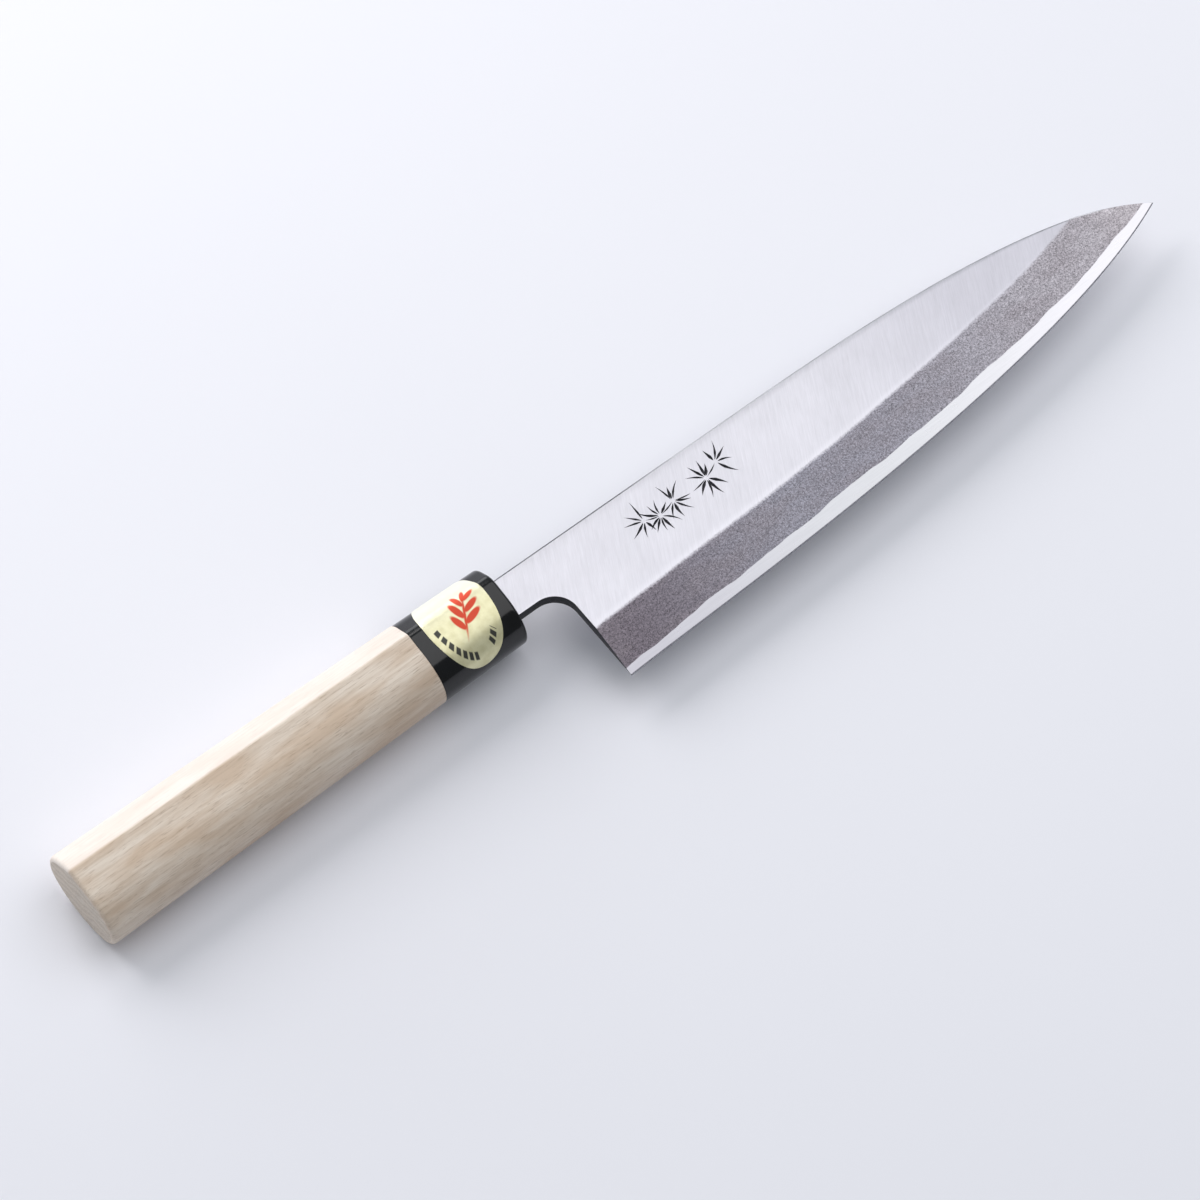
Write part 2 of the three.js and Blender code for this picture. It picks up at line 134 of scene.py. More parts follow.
def make_object(name, vertices, faces, materials=(), face_materials=None, smooth=SMOOTH_ANGLE):
    """Mesh object from vertices in knife axes. smooth is the angle over which an edge stays sharp."""
    mesh = bpy.data.meshes.new(name)
    points = (np.array(vertices, float) + shift) * MM
    mesh.from_pydata([tuple(p) for p in points], [], faces)
    if face_materials is not None:
        mesh.polygons.foreach_set("material_index", face_materials)
    for material in materials:
        mesh.materials.append(material)
    clean(mesh)
    finish_shading(mesh, smooth)
    return link(name, mesh)


def link(name, data):
    obj = bpy.data.objects.new(name, data)
    bpy.context.scene.collection.objects.link(obj)
    return obj


def clean(mesh):
    """Merges vertices that coincide, and turns the faces outwards."""
    tidy = bmesh.new()
    tidy.from_mesh(mesh)
    bmesh.ops.remove_doubles(tidy, verts=tidy.verts, dist=2e-7)
    bmesh.ops.dissolve_degenerate(tidy, edges=tidy.edges, dist=1e-7)
    bmesh.ops.recalc_face_normals(tidy, faces=tidy.faces)
    tidy.to_mesh(mesh)
    tidy.free()


def finish_shading(mesh, smooth=SMOOTH_ANGLE):
    mesh.shade_smooth()
    mesh.set_sharp_from_angle(angle=math.radians(smooth))
    mesh.update()


def loft(rings):
    """Vertices and faces of a closed body through rings of equally many points."""
    around = len(rings[0])
    vertices = [p for ring in rings for p in ring]
    faces = []
    for i in range(len(rings) - 1):
        for j in range(around):
            k = (j + 1) % around
            low, high = i * around, (i + 1) * around
            faces.append((low + j, low + k, high + k, high + j))
    faces.append(tuple(range(around))[::-1])
    last = (len(rings) - 1) * around
    faces.append(tuple(range(last, last + around)))
    return vertices, faces


def cut(obj, cutter, operation="DIFFERENCE"):
    """Boolean of two closed bodies. The cutter goes, and its materials stay on the walls it leaves."""
    modifier = obj.modifiers.new("cut", "BOOLEAN")
    modifier.operation = operation
    modifier.object = cutter
    modifier.solver = "EXACT"
    modifier.material_mode = "TRANSFER"
    bpy.context.view_layer.update()
    evaluated = obj.evaluated_get(bpy.context.evaluated_depsgraph_get())
    made = bpy.data.meshes.new_from_object(evaluated)
    obj.modifiers.clear()
    old = obj.data
    made.name = old.name
    obj.data = made
    bpy.data.meshes.remove(old)
    bpy.data.objects.remove(cutter)
    finish_shading(made)
    return obj


def box_rings(sections):
    """Rings of rectangles: each section is x, (y low, y high), (z low, z high)."""
    return [
        [(x, y0, z0), (x, y1, z0), (x, y1, z1), (x, y0, z1)]
        for x, (y0, y1), (z0, z1) in sections
    ]


# -------- node helpers


class Paint:
    """A procedural material in the making, with its textures measured in millimetres."""

    def __init__(self, name, **sockets):
        self.material = bpy.data.materials.new(name)
        self.material.use_nodes = True
        self.tree = self.material.node_tree
        self.tree.nodes.clear()
        output = self.tree.nodes.new("ShaderNodeOutputMaterial")
        self.shader = self.tree.nodes.new("ShaderNodeBsdfPrincipled")
        self.tree.links.new(self.shader.outputs[0], output.inputs["Surface"])
        for socket, value in sockets.items():
            self.shader.inputs[socket.replace("_", " ")].default_value = value
        coordinates = self.node("ShaderNodeTexCoord")
        self.mm = self.vector("SCALE", coordinates.outputs["Object"], scale=1 / MM)

    def node(self, kind, **settings):
        made = self.tree.nodes.new(kind)
        for key, value in settings.items():
            setattr(made, key, value)
        return made

    def feed(self, socket, value):
        if isinstance(value, bpy.types.NodeSocket):
            self.tree.links.new(value, socket)
        elif hasattr(value, "__len__") and len(value) == 3 and socket.type == "RGBA":
            socket.default_value = (*value, 1.0)
        else:
            socket.default_value = value

    def vector(self, operation, a, b=None, scale=None):
        made = self.node("ShaderNodeVectorMath", operation=operation)
        self.feed(made.inputs[0], a)
        if b is not None:
            self.feed(made.inputs[1], b)
        if scale is not None:
            self.feed(made.inputs["Scale"], scale)
        return made.outputs["Value"] if operation in ("LENGTH", "DOT_PRODUCT") else made.outputs["Vector"]

    def maths(self, operation, a, b=0.0):
        made = self.node("ShaderNodeMath", operation=operation)
        self.feed(made.inputs[0], a)
        self.feed(made.inputs[1], b)
        return made.outputs[0]

    def times(self, a, b):
        return self.maths("MULTIPLY", a, b)

    def plus(self, a, b):
        return self.maths("ADD", a, b)

    def minus(self, a, b):
        return self.maths("SUBTRACT", a, b)

    def turned(self, vector, turn=(0, 0, 0), stretch=(1, 1, 1)):
        """The vector turned about the axes, in degrees, and then scaled."""
        first = self.node("ShaderNodeMapping", vector_type="POINT")
        self.feed(first.inputs["Vector"], vector)
        first.inputs["Rotation"].default_value = [math.radians(a) for a in turn]
        return self.vector("MULTIPLY", first.outputs["Vector"], stretch)

    def noise(self, vector, scale, detail=3.0, roughness=0.5):
        made = self.node("ShaderNodeTexNoise")
        self.feed(made.inputs["Vector"], vector)
        made.inputs["Scale"].default_value = scale
        made.inputs["Detail"].default_value = detail
        made.inputs["Roughness"].default_value = roughness
        return made.outputs["Fac"]

    def span(self, value, low, high, to_low=0.0, to_high=1.0, smooth=False):
        """value mapped from low..high to to_low..to_high, and held at the ends."""
        made = self.node("ShaderNodeMapRange", clamp=True)
        made.interpolation_type = "SMOOTHSTEP" if smooth else "LINEAR"
        for socket, number in zip(made.inputs, (value, low, high, to_low, to_high)):
            self.feed(socket, number)
        return made.outputs["Result"]

    def blend(self, share, a, b, mode="MIX"):
        made = self.node("ShaderNodeMix", data_type="RGBA", blend_type=mode)
        self.feed(made.inputs[0], share)
        self.feed(made.inputs[6], a)
        self.feed(made.inputs[7], b)
        return made.outputs[2]

    def fade_in(self, start, end):
        """0 before start and 1 after end, each an x in knife axes."""
        x = self.split(self.mm)[0]
        return self.span(x, start + shift[0], end + shift[0], smooth=True)

    def split(self, vector):
        made = self.node("ShaderNodeSeparateXYZ")
        self.feed(made.inputs[0], vector)
        return made.outputs

    def attribute(self, name):
        return self.node("ShaderNodeAttribute", attribute_name=name).outputs["Vector"]

    def bump(self, height, depth, strength):
        """Height from 0 to 1, worth depth in millimetres."""
        made = self.node("ShaderNodeBump")
        made.inputs["Strength"].default_value = strength
        made.inputs["Distance"].default_value = depth * MM
        self.feed(made.inputs["Height"], height)
        return made.outputs["Normal"]

    def finish(self, colour, rough, normal=None):
        self.feed(self.shader.inputs["Base Color"], colour)
        self.feed(self.shader.inputs["Roughness"], rough)
        if normal is not None:
            self.feed(self.shader.inputs["Normal"], normal)
        return self.material


# -------- steel finishes

SCRATCH_LEAN = -62.0  # of the grinding marks, from the spine's line
FLAT_AT_HEEL = (0.585, 0.575, 0.62)
FLAT_AT_TIP = (0.50, 0.49, 0.54)
BEVEL_TONE_AT_HEEL = (0.165, 0.145, 0.17)
BEVEL_TONE_MIDDLE = (0.255, 0.25, 0.29)
BEVEL_TONE_AT_TIP = (0.37, 0.35, 0.38)
BEVEL_TONE_LAST = (0.50, 0.47, 0.50)
BEVEL_STAIN = (0.225, 0.20, 0.22)


def ground_iron():
    """Soft iron of the right face: a satin ground flat, and a blasted bevel below the shinogi.

    The flat has short diagonal grinding marks and turns greyer towards the tip. The bevel is grainy and
    matt, purplish near the heel. The two meet over about a millimetre.
    """
    p = Paint("ground_and_blasted_iron", Metallic=1.0)
    above = p.split(p.attribute("above_shinogi"))[0]
    # flat
    along = p.turned(p.mm, turn=(0, 0, SCRATCH_LEAN))
    fine = p.noise(p.vector("MULTIPLY", along, (0.22, 5.5, 0.2)), 1.0, 2.0, 0.6)
    coarse = p.noise(p.vector("MULTIPLY", along, (0.12, 1.9, 0.1)), 1.0, 3.0, 0.6)
    lines = p.plus(p.times(fine, 0.55), p.times(coarse, 0.45))
    clouds = p.noise(p.mm, 0.09, 4.0, 0.6)
    towards_tip = p.fade_in(85, 150)
    flat = p.blend(towards_tip, FLAT_AT_HEEL, FLAT_AT_TIP)
    shade = p.times(p.span(lines, 0.32, 0.68, 0.90, 1.07), p.span(clouds, 0.3, 0.7, 0.955, 1.025))
    flat = p.blend(1.0, flat, shade, "MULTIPLY")
    flat_rough = p.span(lines, 0.3, 0.7, 0.34, 0.46)
    # bevel
    grain = p.noise(p.mm, 2.1, 2.0, 0.7)
    speck = p.noise(p.mm, 4.4, 1.0, 0.5)
    patches = p.noise(p.turned(p.mm, stretch=(0.35, 1.0, 1.0)), 0.16, 3.0, 0.6)
    from_heel = p.fade_in(15, 75)
    to_tip = p.fade_in(85, 180)
    bevel = p.blend(from_heel, BEVEL_TONE_AT_HEEL, BEVEL_TONE_MIDDLE)
    bevel = p.blend(to_tip, bevel, BEVEL_TONE_AT_TIP)
    last = p.fade_in(172, 188)
    bevel = p.blend(last, bevel, BEVEL_TONE_LAST)
    bevel = p.blend(p.span(patches, 0.42, 0.62, 0.0, 0.35), bevel, BEVEL_STAIN)
    texture = p.plus(p.times(grain, 0.55), p.times(speck, 0.45))
    bevel = p.blend(1.0, bevel, p.span(texture, 0.34, 0.66, 0.5, 1.55), "MULTIPLY")
    bevel_rough = p.span(texture, 0.3, 0.7, 0.62, 0.5)
    # boundary
    ragged = p.plus(above, p.times(p.minus(grain, 0.5), 0.9))
    on_flat = p.span(ragged, -0.75, 0.35, smooth=True)
    colour = p.blend(on_flat, bevel, flat)
    on_bevel = p.minus(1.0, on_flat)
    rough = p.plus(p.times(on_flat, flat_rough), p.times(on_bevel, bevel_rough))
    rise = p.plus(p.times(p.times(on_flat, lines), 0.12), p.times(on_bevel, texture))
    return p.finish(colour, rough, p.bump(rise, 0.04, 0.7))


def honed_steel():
    """Hard steel strip: bright, with fine lengthwise stone marks and a faint haze."""
    p = Paint("honed_hard_steel", Metallic=1.0)
    lines = p.noise(p.turned(p.mm, stretch=(0.06, 6.0, 6.0)), 1.0, 3.0, 0.6)
    haze = p.noise(p.turned(p.mm, stretch=(0.5, 1.0, 1.0)), 0.45, 3.0, 0.6)
    from_heel = p.fade_in(14, 100)
    to_tip = p.fade_in(90, 175)
    base = p.blend(from_heel, (0.38, 0.375, 0.41), (0.45, 0.455, 0.475))
    base = p.blend(to_tip, base, (0.56, 0.55, 0.58))
    shade = p.times(p.span(lines, 0.3, 0.7, 0.95, 1.03), p.span(haze, 0.3, 0.7, 0.95, 1.03))
    rough = p.span(haze, 0.3, 0.7, 0.26, 0.36)
    colour = p.blend(1.0, base, shade, "MULTIPLY")
    return p.finish(colour, rough, p.bump(lines, 0.003, 0.5))


def edge_bevel_painted_dark():
    """Narrow final bevel at the cutting edge, polished. Its colour is painted dark, a painted reflection of
    the dark surroundings such a bevel shows.
    """
    p = Paint("edge_bevel_painted_dark", Metallic=1.0)
    lines = p.noise(p.turned(p.mm, stretch=(3.0, 0.5, 0.5)), 1.0, 3.0, 0.6)
    colour = p.blend(p.span(lines, 0.35, 0.65), (0.07, 0.07, 0.085), (0.16, 0.16, 0.18))
    rough = p.span(lines, 0.3, 0.7, 0.3, 0.4)
    return p.finish(colour, rough, p.bump(lines, 0.004, 0.5))


def paint_choil_dark():
    """Near-black colour on the choil, the underside of the neck and the tang: painted shade, standing in
    for the dark reflection these faces show.
    """
    p = Paint("choil_painted_dark", Metallic=0.75)
    blotch = p.noise(p.mm, 0.9, 4.0, 0.6)
    fine = p.noise(p.mm, 4.0, 3.0, 0.6)
    colour = p.blend(p.span(blotch, 0.35, 0.65), (0.016, 0.017, 0.02), (0.04, 0.04, 0.045))
    rough = p.span(fine, 0.3, 0.7, 0.38, 0.55)
    return p.finish(colour, rough, p.bump(fine, 0.02, 0.6))


def spine_steel():
    """Spine: ground bright, and darker towards the handle."""
    p = Paint("draw_filed_spine", Metallic=1.0)
    lines = p.noise(p.turned(p.mm, stretch=(0.12, 3.0, 3.0)), 1.0, 3.0, 0.6)
    brighter_past_neck = p.fade_in(35, 62)
    base = p.blend(brighter_past_neck, (0.12, 0.12, 0.135), (0.46, 0.46, 0.49))
    colour = p.blend(1.0, base, p.span(lines, 0.3, 0.7, 0.85, 1.1), "MULTIPLY")
    rough = p.span(lines, 0.3, 0.7, 0.3, 0.42)
    return p.finish(colour, rough, p.bump(lines, 0.01, 0.5))


def chiselled_line():
    """Bottom of the chiselled strokes, dark with burnt oil."""
    p = Paint("dark_chisel_mark", Metallic=0.6)
    fine = p.noise(p.mm, 6.0, 3.0, 0.6)
    colour = p.blend(p.span(fine, 0.35, 0.65), (0.012, 0.012, 0.016), (0.06, 0.06, 0.07))
    return p.finish(colour, p.span(fine, 0.3, 0.7, 0.4, 0.6))


# -------- blade lines


def bezier(points, steps=1500):
    t = np.linspace(0, 1, steps)[:, None]
    a, b, c, d = (np.array(q, float) for q in points)
    return (1 - t) ** 3 * a + 3 * (1 - t) ** 2 * t * b + 3 * (1 - t) * t ** 2 * c + t ** 3 * d


SPINE_CURVE = bezier([
    (HEEL_X + 60, SPINE_Y),
    (HEEL_X + 92, SPINE_Y),
    (TIP_X - 26, TIP_Y + 0.66 * 26),
    (TIP_X, TIP_Y),
])
EDGE_CURVE = bezier([
    (HEEL_X, HEEL_Y),
    (HEEL_X + 20, HEEL_Y + 0.08 * 20),
    (TIP_X - 48, TIP_Y - 0.446 * 48),
    (TIP_X, TIP_Y),
])


def spine_at(x):
    return SPINE_Y if x <= HEEL_X + 60 else float(np.interp(x, SPINE_CURVE[:, 0], SPINE_CURVE[:, 1]))


def edge_at(x):
    return float(np.interp(x, EDGE_CURVE[:, 0], EDGE_CURVE[:, 1]))


def share_at(x):
    return (x - HEEL_X) / BLADE_LENGTH


def thickness_at(x):
    return THICKNESS_AT_HEEL + (THICKNESS_AT_TIP - THICKNESS_AT_HEEL) * share_at(x)


def bevel_at(x):
    return BEVEL_AT_HEEL + (BEVEL_AT_TIP - BEVEL_AT_HEEL) * share_at(x)


def hard_top_at(x):
    return BACK_Z + HAGANE_AT_HEEL + (HAGANE_AT_TIP - HAGANE_AT_HEEL) * share_at(x)


def choil_at(x):
    """Lower outline of the neck and the round of the choil."""
    centre = HEEL_X - CHOIL_RADIUS
    if x <= centre:
        return NECK_UNDERSIDE_Y
    reach = min(x - centre, CHOIL_RADIUS)
    return NECK_UNDERSIDE_Y - CHOIL_RADIUS + math.sqrt(max(CHOIL_RADIUS ** 2 - reach ** 2, 0))


def waves(seed, parts):
    """Sum of sines with fixed random phases: parts are (wavelength, height) pairs in mm."""
    chance = random.Random(seed)
    phases = [chance.uniform(0, 2 * math.pi) for _ in parts]
    return lambda x: sum(h * math.sin(2 * math.pi * x / w + a) for (w, h), a in zip(parts, phases))


LAMINATION_SEED = 11
SHINOGI_SEED = 5
LAMINATION_WAVES = waves(LAMINATION_SEED, [
    (47, 0.2), (23, 0.15), (12.5, 0.08), (6.7, 0.045), (3.1, 0.02), (1.7, 0.012),
])
SHINOGI_WAVES = waves(SHINOGI_SEED, [(70, 0.1), (31, 0.06), (11, 0.025)])


def lamination_at(x):
    """Height of the weld line above the edge."""
    s = x - HEEL_X
    steady = float(np.interp(s, [0, 20, 45, 90, 140, 165, 180], [2.2, 2.7, 3.6, 3.9, 3.7, 2.9, 2.4]))
    return steady + LAMINATION_WAVES(x)


# -------- blade

FLAT_ROWS = 12
BEVEL_ROWS = 6
BACK_ROWS = 12
ROUND_ROWS = 4
CHOIL_CORNER_Y = NECK_UNDERSIDE_Y - CHOIL_RADIUS


def corner_share():
    """Where the choil's round ends, as a share of the flat from shinogi to spine at the heel."""
    shinogi = HEEL_Y + BEVEL_AT_HEEL + SHINOGI_WAVES(HEEL_X)
    return (CHOIL_CORNER_Y - shinogi) / (SPINE_Y - SPINE_ROUND - shinogi)


CORNER = corner_share()
FLAT_SHARES = sorted({0.0, CORNER, 1.0, *(i / FLAT_ROWS for i in range(1, FLAT_ROWS))})
CORNER_ROW = FLAT_SHARES.index(CORNER)


def spine_round(x, y_top):
    """Rounded corner between the right face and the spine, from the face down."""
    face = face_height(x, y_top)
    radius = min(SPINE_ROUND, 0.45 * (face - hard_top_at(x))) if face > hard_top_at(x) else 0.0
    points = []
    for i in range(1, ROUND_ROWS + 1):
        a = math.pi / 2 * i / ROUND_ROWS
        points.append((y_top - radius + radius * math.sin(a), face - radius + radius * math.cos(a)))
    return radius, points


def face_height(x, y):
    """z of the right face: flat above the shinogi, bevel below it."""
    thick = thickness_at(x)
    edge = edge_at(max(x, HEEL_X))
    width = bevel_at(max(x, HEEL_X)) + SHINOGI_WAVES(x)
    if x < HEEL_X or y >= edge + width:
        return BACK_Z + thick
    slope = (thick - EDGE_LAND) / width
    return BACK_Z + EDGE_LAND + slope * (y - edge)


def blade_stations():
    """x of the rings in front of the heel, closer together towards the tip."""
    main = list(np.arange(HEEL_X, TIP_X - 12, 0.6))
    near = list(np.arange(TIP_X - 12, TIP_X - 0.5, 0.3))
    return main + near + [TIP_X - 0.5, TIP_X - 0.3, TIP_X - 0.15, TIP_X - 0.05]


def neck_stations():
    arc = [HEEL_X - CHOIL_RADIUS * (1 - math.cos(a)) for a in np.linspace(0, math.pi / 2, 25)[1:]]
    straight = [4.9, HAGANE_SETBACK, 2.5, 1.0, 0.0, -1.5, -NECK_SEAT]
    return arc + [x for x in straight if x < HEEL_X - CHOIL_RADIUS - 0.01]


def iron_ring(x):
    """Section of the soft iron in front of the heel."""
    edge = edge_at(x)
    top = spine_at(x)
    weld = min(edge + lamination_at(x), top - 0.01)
    shinogi = min(edge + bevel_at(x) + SHINOGI_WAVES(x), top - 0.005)
    shinogi = max(shinogi, weld)
    radius, rounded = spine_round(x, top)
    last = max(top - radius, shinogi)
    hard = min(hard_top_at(x), face_height(x, top) - 0.004)
    ring = []
    for i in range(BEVEL_ROWS):
        y = weld + (shinogi - weld) * i / BEVEL_ROWS
        ring.append((x, y, face_height(x, y)))
    for share in FLAT_SHARES:
        y = shinogi + (last - shinogi) * share
        ring.append((x, y, face_height(x, y)))
    ring += [(x, y, z) for y, z in rounded]
    inner = min(weld + INNER_ROW, top - 0.003)
    middle = inner + (top - inner) * bottom_share()
    ring += [(x, top, hard), (x, middle, hard), (x, inner, hard)]
    return ring


def bottom_share():
    inner = HEEL_Y + lamination_at(HEEL_X) + INNER_ROW
    return (CHOIL_CORNER_Y - inner) / (SPINE_Y - inner)


def neck_ring(x, low):
    """Section of the neck, as the part of the blade's ring from the choil's corner round to the spine."""
    bottom = choil_at(x)
    radius, rounded = spine_round(x, SPINE_Y)
    face = BACK_Z + thickness_at(x)
    ring = []
    for share in FLAT_SHARES[CORNER_ROW:]:
        part = (share - CORNER) / (1 - CORNER)
        ring.append((x, bottom + (SPINE_Y - radius - bottom) * part, face))
    ring += [(x, y, z) for y, z in rounded]
    return ring + [(x, SPINE_Y, low), (x, bottom, low)]


def bridge(faces, marks, first, second, mark):
    """Quads between two rows of vertex numbers. mark gives a face's material from its place in the row."""
    n = len(first)
    for j in range(n):
        k = (j + 1) % n
        faces.append((first[j], first[k], second[k], second[j]))
        marks.append(mark(j))


def build_iron(materials):
    """Soft iron: bevel, flat, spine, neck and tang, with the choil's corners rounded."""
    vertices, faces, marks = [], [], []
    rows = []
    for x in blade_stations():
        ring = iron_ring(x)
        rows.append(list(range(len(vertices), len(vertices) + len(ring))))
        vertices += ring
    flat_start = BEVEL_ROWS
    flat_end = flat_start + len(FLAT_SHARES) - 1
    spine_end = flat_end + ROUND_ROWS

    def blade_mark(j):
        if j < flat_end:
            return 0
        return 1 if j <= spine_end else 2

    for first, second in zip(rows, rows[1:]):
        bridge(faces, marks, first, second, blade_mark)
    faces.append(tuple(rows[-1]))
    marks.append(0)
    # the neck goes on from the part of the heel's ring above the choil's corner
    corner = flat_start + CORNER_ROW
    heel = rows[0]
    shared = heel[corner:spine_end + 3]
    cap = heel[:corner + 1] + heel[spine_end + 2:]
    faces.append(tuple(cap))
    marks.append(2)
    length = len(shared)
    flat_count = flat_end - corner

    def neck_mark(j):
        if j < flat_count:
            return 0
        return 1 if j < flat_count + ROUND_ROWS + 1 else 2

    before = shared
    for x in neck_stations():
        lows = [hard_top_at(x)] if x >= HAGANE_SETBACK else []
        if x <= HAGANE_SETBACK:
            lows.append(BACK_Z)
        for low in lows:
            ring = neck_ring(x, low)
            row = list(range(len(vertices), len(vertices) + length))
            vertices += ring
            bridge(faces, marks, before, row, neck_mark)
            before = row
    faces.append(tuple(before))
    marks.append(2)
    blade = make_object("blade_iron", vertices, faces, materials, marks)
    soften_choil(blade)
    tang = build_tang(materials[2])
    return cut(blade, tang, operation="UNION")


def measure_shinogi(blade):
    """Stores each vertex's distance above the shinogi, in mm, for the finish."""
    mesh = blade.data
    above = mesh.attributes.new("above_shinogi", "FLOAT_VECTOR", "POINT")
    for vertex, value in zip(mesh.vertices, above.data):
        x, y, _ = np.array(vertex.co) / MM - shift
        along = max(x, HEEL_X)
        value.vector = (y - edge_at(along) - bevel_at(along) - SHINOGI_WAVES(along), 0.0, 0.0)


def soften_choil(blade):
    """Rounds the two long corners of the choil and the underside of the neck."""
    mesh = blade.data
    soft = bmesh.new()
    soft.from_mesh(mesh)
    chosen = []
    heel_x = (HEEL_X + shift[0]) * MM
    for edge in soft.edges:
        if len(edge.link_faces) != 2:
            continue
        kinds = {f.material_index for f in edge.link_faces}
        middle = (edge.verts[0].co + edge.verts[1].co) / 2
        if kinds == {0, 2} and middle.x <= heel_x + 1e-6:
            chosen.append(edge)
    bmesh.ops.bevel(soft, geom=chosen, offset=CHOIL_ROUND * MM, segments=3, profile=0.5,
                    affect="EDGES", clamp_overlap=True, material=2)
    soft.to_mesh(mesh)
    soft.free()
    finish_shading(mesh)


def build_tang(material):
    x0, x1 = -NECK_SEAT + 0.8, -TANG_LENGTH
    sections = []
    for x, k in ((x0, 0), (-NECK_SEAT, 0), (x1, 1)):
        half_y = TANG_HEIGHT[k] / 2
        half_z = TANG_THICKNESS[k] / 2
        sections.append((x, (TANG_CENTRE_Y - half_y, TANG_CENTRE_Y + half_y), (-half_z, half_z)))
    return make_object("tang", *loft(box_rings(sections)), [material])


def hollow_at(x, y, low, high):
    """How deep the hollow-ground back is at a point."""
    start, end = HEEL_X + 6, TIP_X - 24
    fade = min(1.0, (x - start) / 18, (end - x) / 18)
    if fade <= 0 or not low < y < high:
        return 0.0
    across = (y - low) / (high - low)
    return HOLLOW_DEPTH * math.sin(math.pi / 2 * fade) * (1 - (2 * across - 1) ** 2)


def steel_ring(x):
    """Section of the hard steel in front of the heel: bevel strip, weld face, spine and hollow back."""
    edge = edge_at(x)
    top = spine_at(x)
    weld = min(edge + lamination_at(x), top - 0.01)
    hard = min(hard_top_at(x), face_height(x, top) - 0.004) - WELD_GAP * 0.4
    micro = min(edge + MICRO_BEVEL, weld - 0.002)
    ring = [(x, edge, BACK_Z), (x, edge, BACK_Z + 0.01), (x, micro, face_height(x, micro))]
    for i in range(1, 4):
        y = micro + (weld - micro) * i / 3
        ring.append((x, y, face_height(x, y)))
    inner = min(weld + INNER_ROW, top - 0.003)
    middle = inner + (top - inner) * bottom_share()
    ring += [(x, inner, hard), (x, middle, hard), (x, top, hard), (x, top, BACK_Z)]
    low, high = edge + 1.6, top - 2.2
    for i in range(1, BACK_ROWS + 1):
        y = top + (middle - top) * i / BACK_ROWS
        ring.append((x, y, BACK_Z + hollow_at(x, y, low, high)))
    for i in range(1, BACK_ROWS):
        y = middle + (edge - middle) * i / BACK_ROWS
        ring.append((x, y, BACK_Z + hollow_at(x, y, low, high)))
    return ring


def build_steel(materials):
    """Hard steel layer: the cutting edge and the whole back."""
    vertices, faces, marks = [], [], []
    rows = []
    for x in blade_stations():
        ring = steel_ring(x)
        rows.append(list(range(len(vertices), len(vertices) + len(ring))))
        vertices += ring
    for first, second in zip(rows, rows[1:]):
        bridge(faces, marks, first, second, lambda j: 3 if j <= 1 else 0)
    faces.append(tuple(rows[-1]))
    marks.append(0)
    heel = rows[0]
    middle_top, back_middle = 7, 9 + BACK_ROWS
    shared = heel[middle_top:back_middle + 1]
    faces.append(tuple(heel[:middle_top + 1] + heel[back_middle:]))
    marks.append(2)
    before = shared
    for x in [s for s in neck_stations() if s >= HAGANE_SETBACK]:
        bottom = choil_at(x)
        hard = hard_top_at(x) - WELD_GAP * 0.4
        ring = [(x, bottom, hard), (x, SPINE_Y, hard), (x, SPINE_Y, BACK_Z)]
        ring += [(x, SPINE_Y + (bottom - SPINE_Y) * i / BACK_ROWS, BACK_Z) for i in range(1, BACK_ROWS + 1)]
        row = list(range(len(vertices), len(vertices) + len(ring)))
        vertices += ring
        bridge(faces, marks, before, row, lambda j: 2 if j == len(ring) - 1 else 0)
        before = row
    faces.append(tuple(before))
    marks.append(2)
    return make_object("blade_hard_steel", vertices, faces, materials, marks)


# -------- chiselled leaves

GROOVE_DEPTH = 0.3


def leaf(start, bend, end, width, swell=0.35):
    """A tapered stroke of the chisel from start to end, bowed towards bend."""
    return {"line": (start, bend, end), "width": width, "swell": swell}


# a jointed twig, as distances from the heel and heights, and the fans of leaves at its joints
TWIG = [(50.2, -1.6), (45.8, -3.7), (40.6, -4.7), (35.6, -3.6), (30.8, -4.9), (26.8, -3.6)]
TWIG_WIDTH = 0.4
TWIG_ENDS = (0.09, 0.91)  # of the way from joint to joint
TWIG_SAG = 0.35
LEAF_FANS = [
    {"joint": 0, "heading": 25, "spread": 160, "leaves": 5},
    {"joint": 1, "heading": 100, "spread": 80, "leaves": 4},
    {"joint": 1, "heading": -95, "spread": 100, "leaves": 4},
    {"joint": 3, "heading": -75, "spread": 110, "leaves": 4},
    {"joint": 3, "heading": 75, "spread": 60, "leaves": 3},
    {"joint": 4, "heading": -105, "spread": 110, "leaves": 5},
    {"joint": 4, "heading": 85, "spread": 90, "leaves": 4},
    {"joint": 5, "heading": 188, "spread": 190, "leaves": 6},
]
LEAF_LENGTH = (3.6, 6.2)
LEAF_WIDTH = (0.5, 0.88)
LEAF_START = 0.6  # from its joint
LEAF_BOW = 0.14  # of its length
LEAF_WOBBLE = 7  # degrees
LEAF_SEED = 8


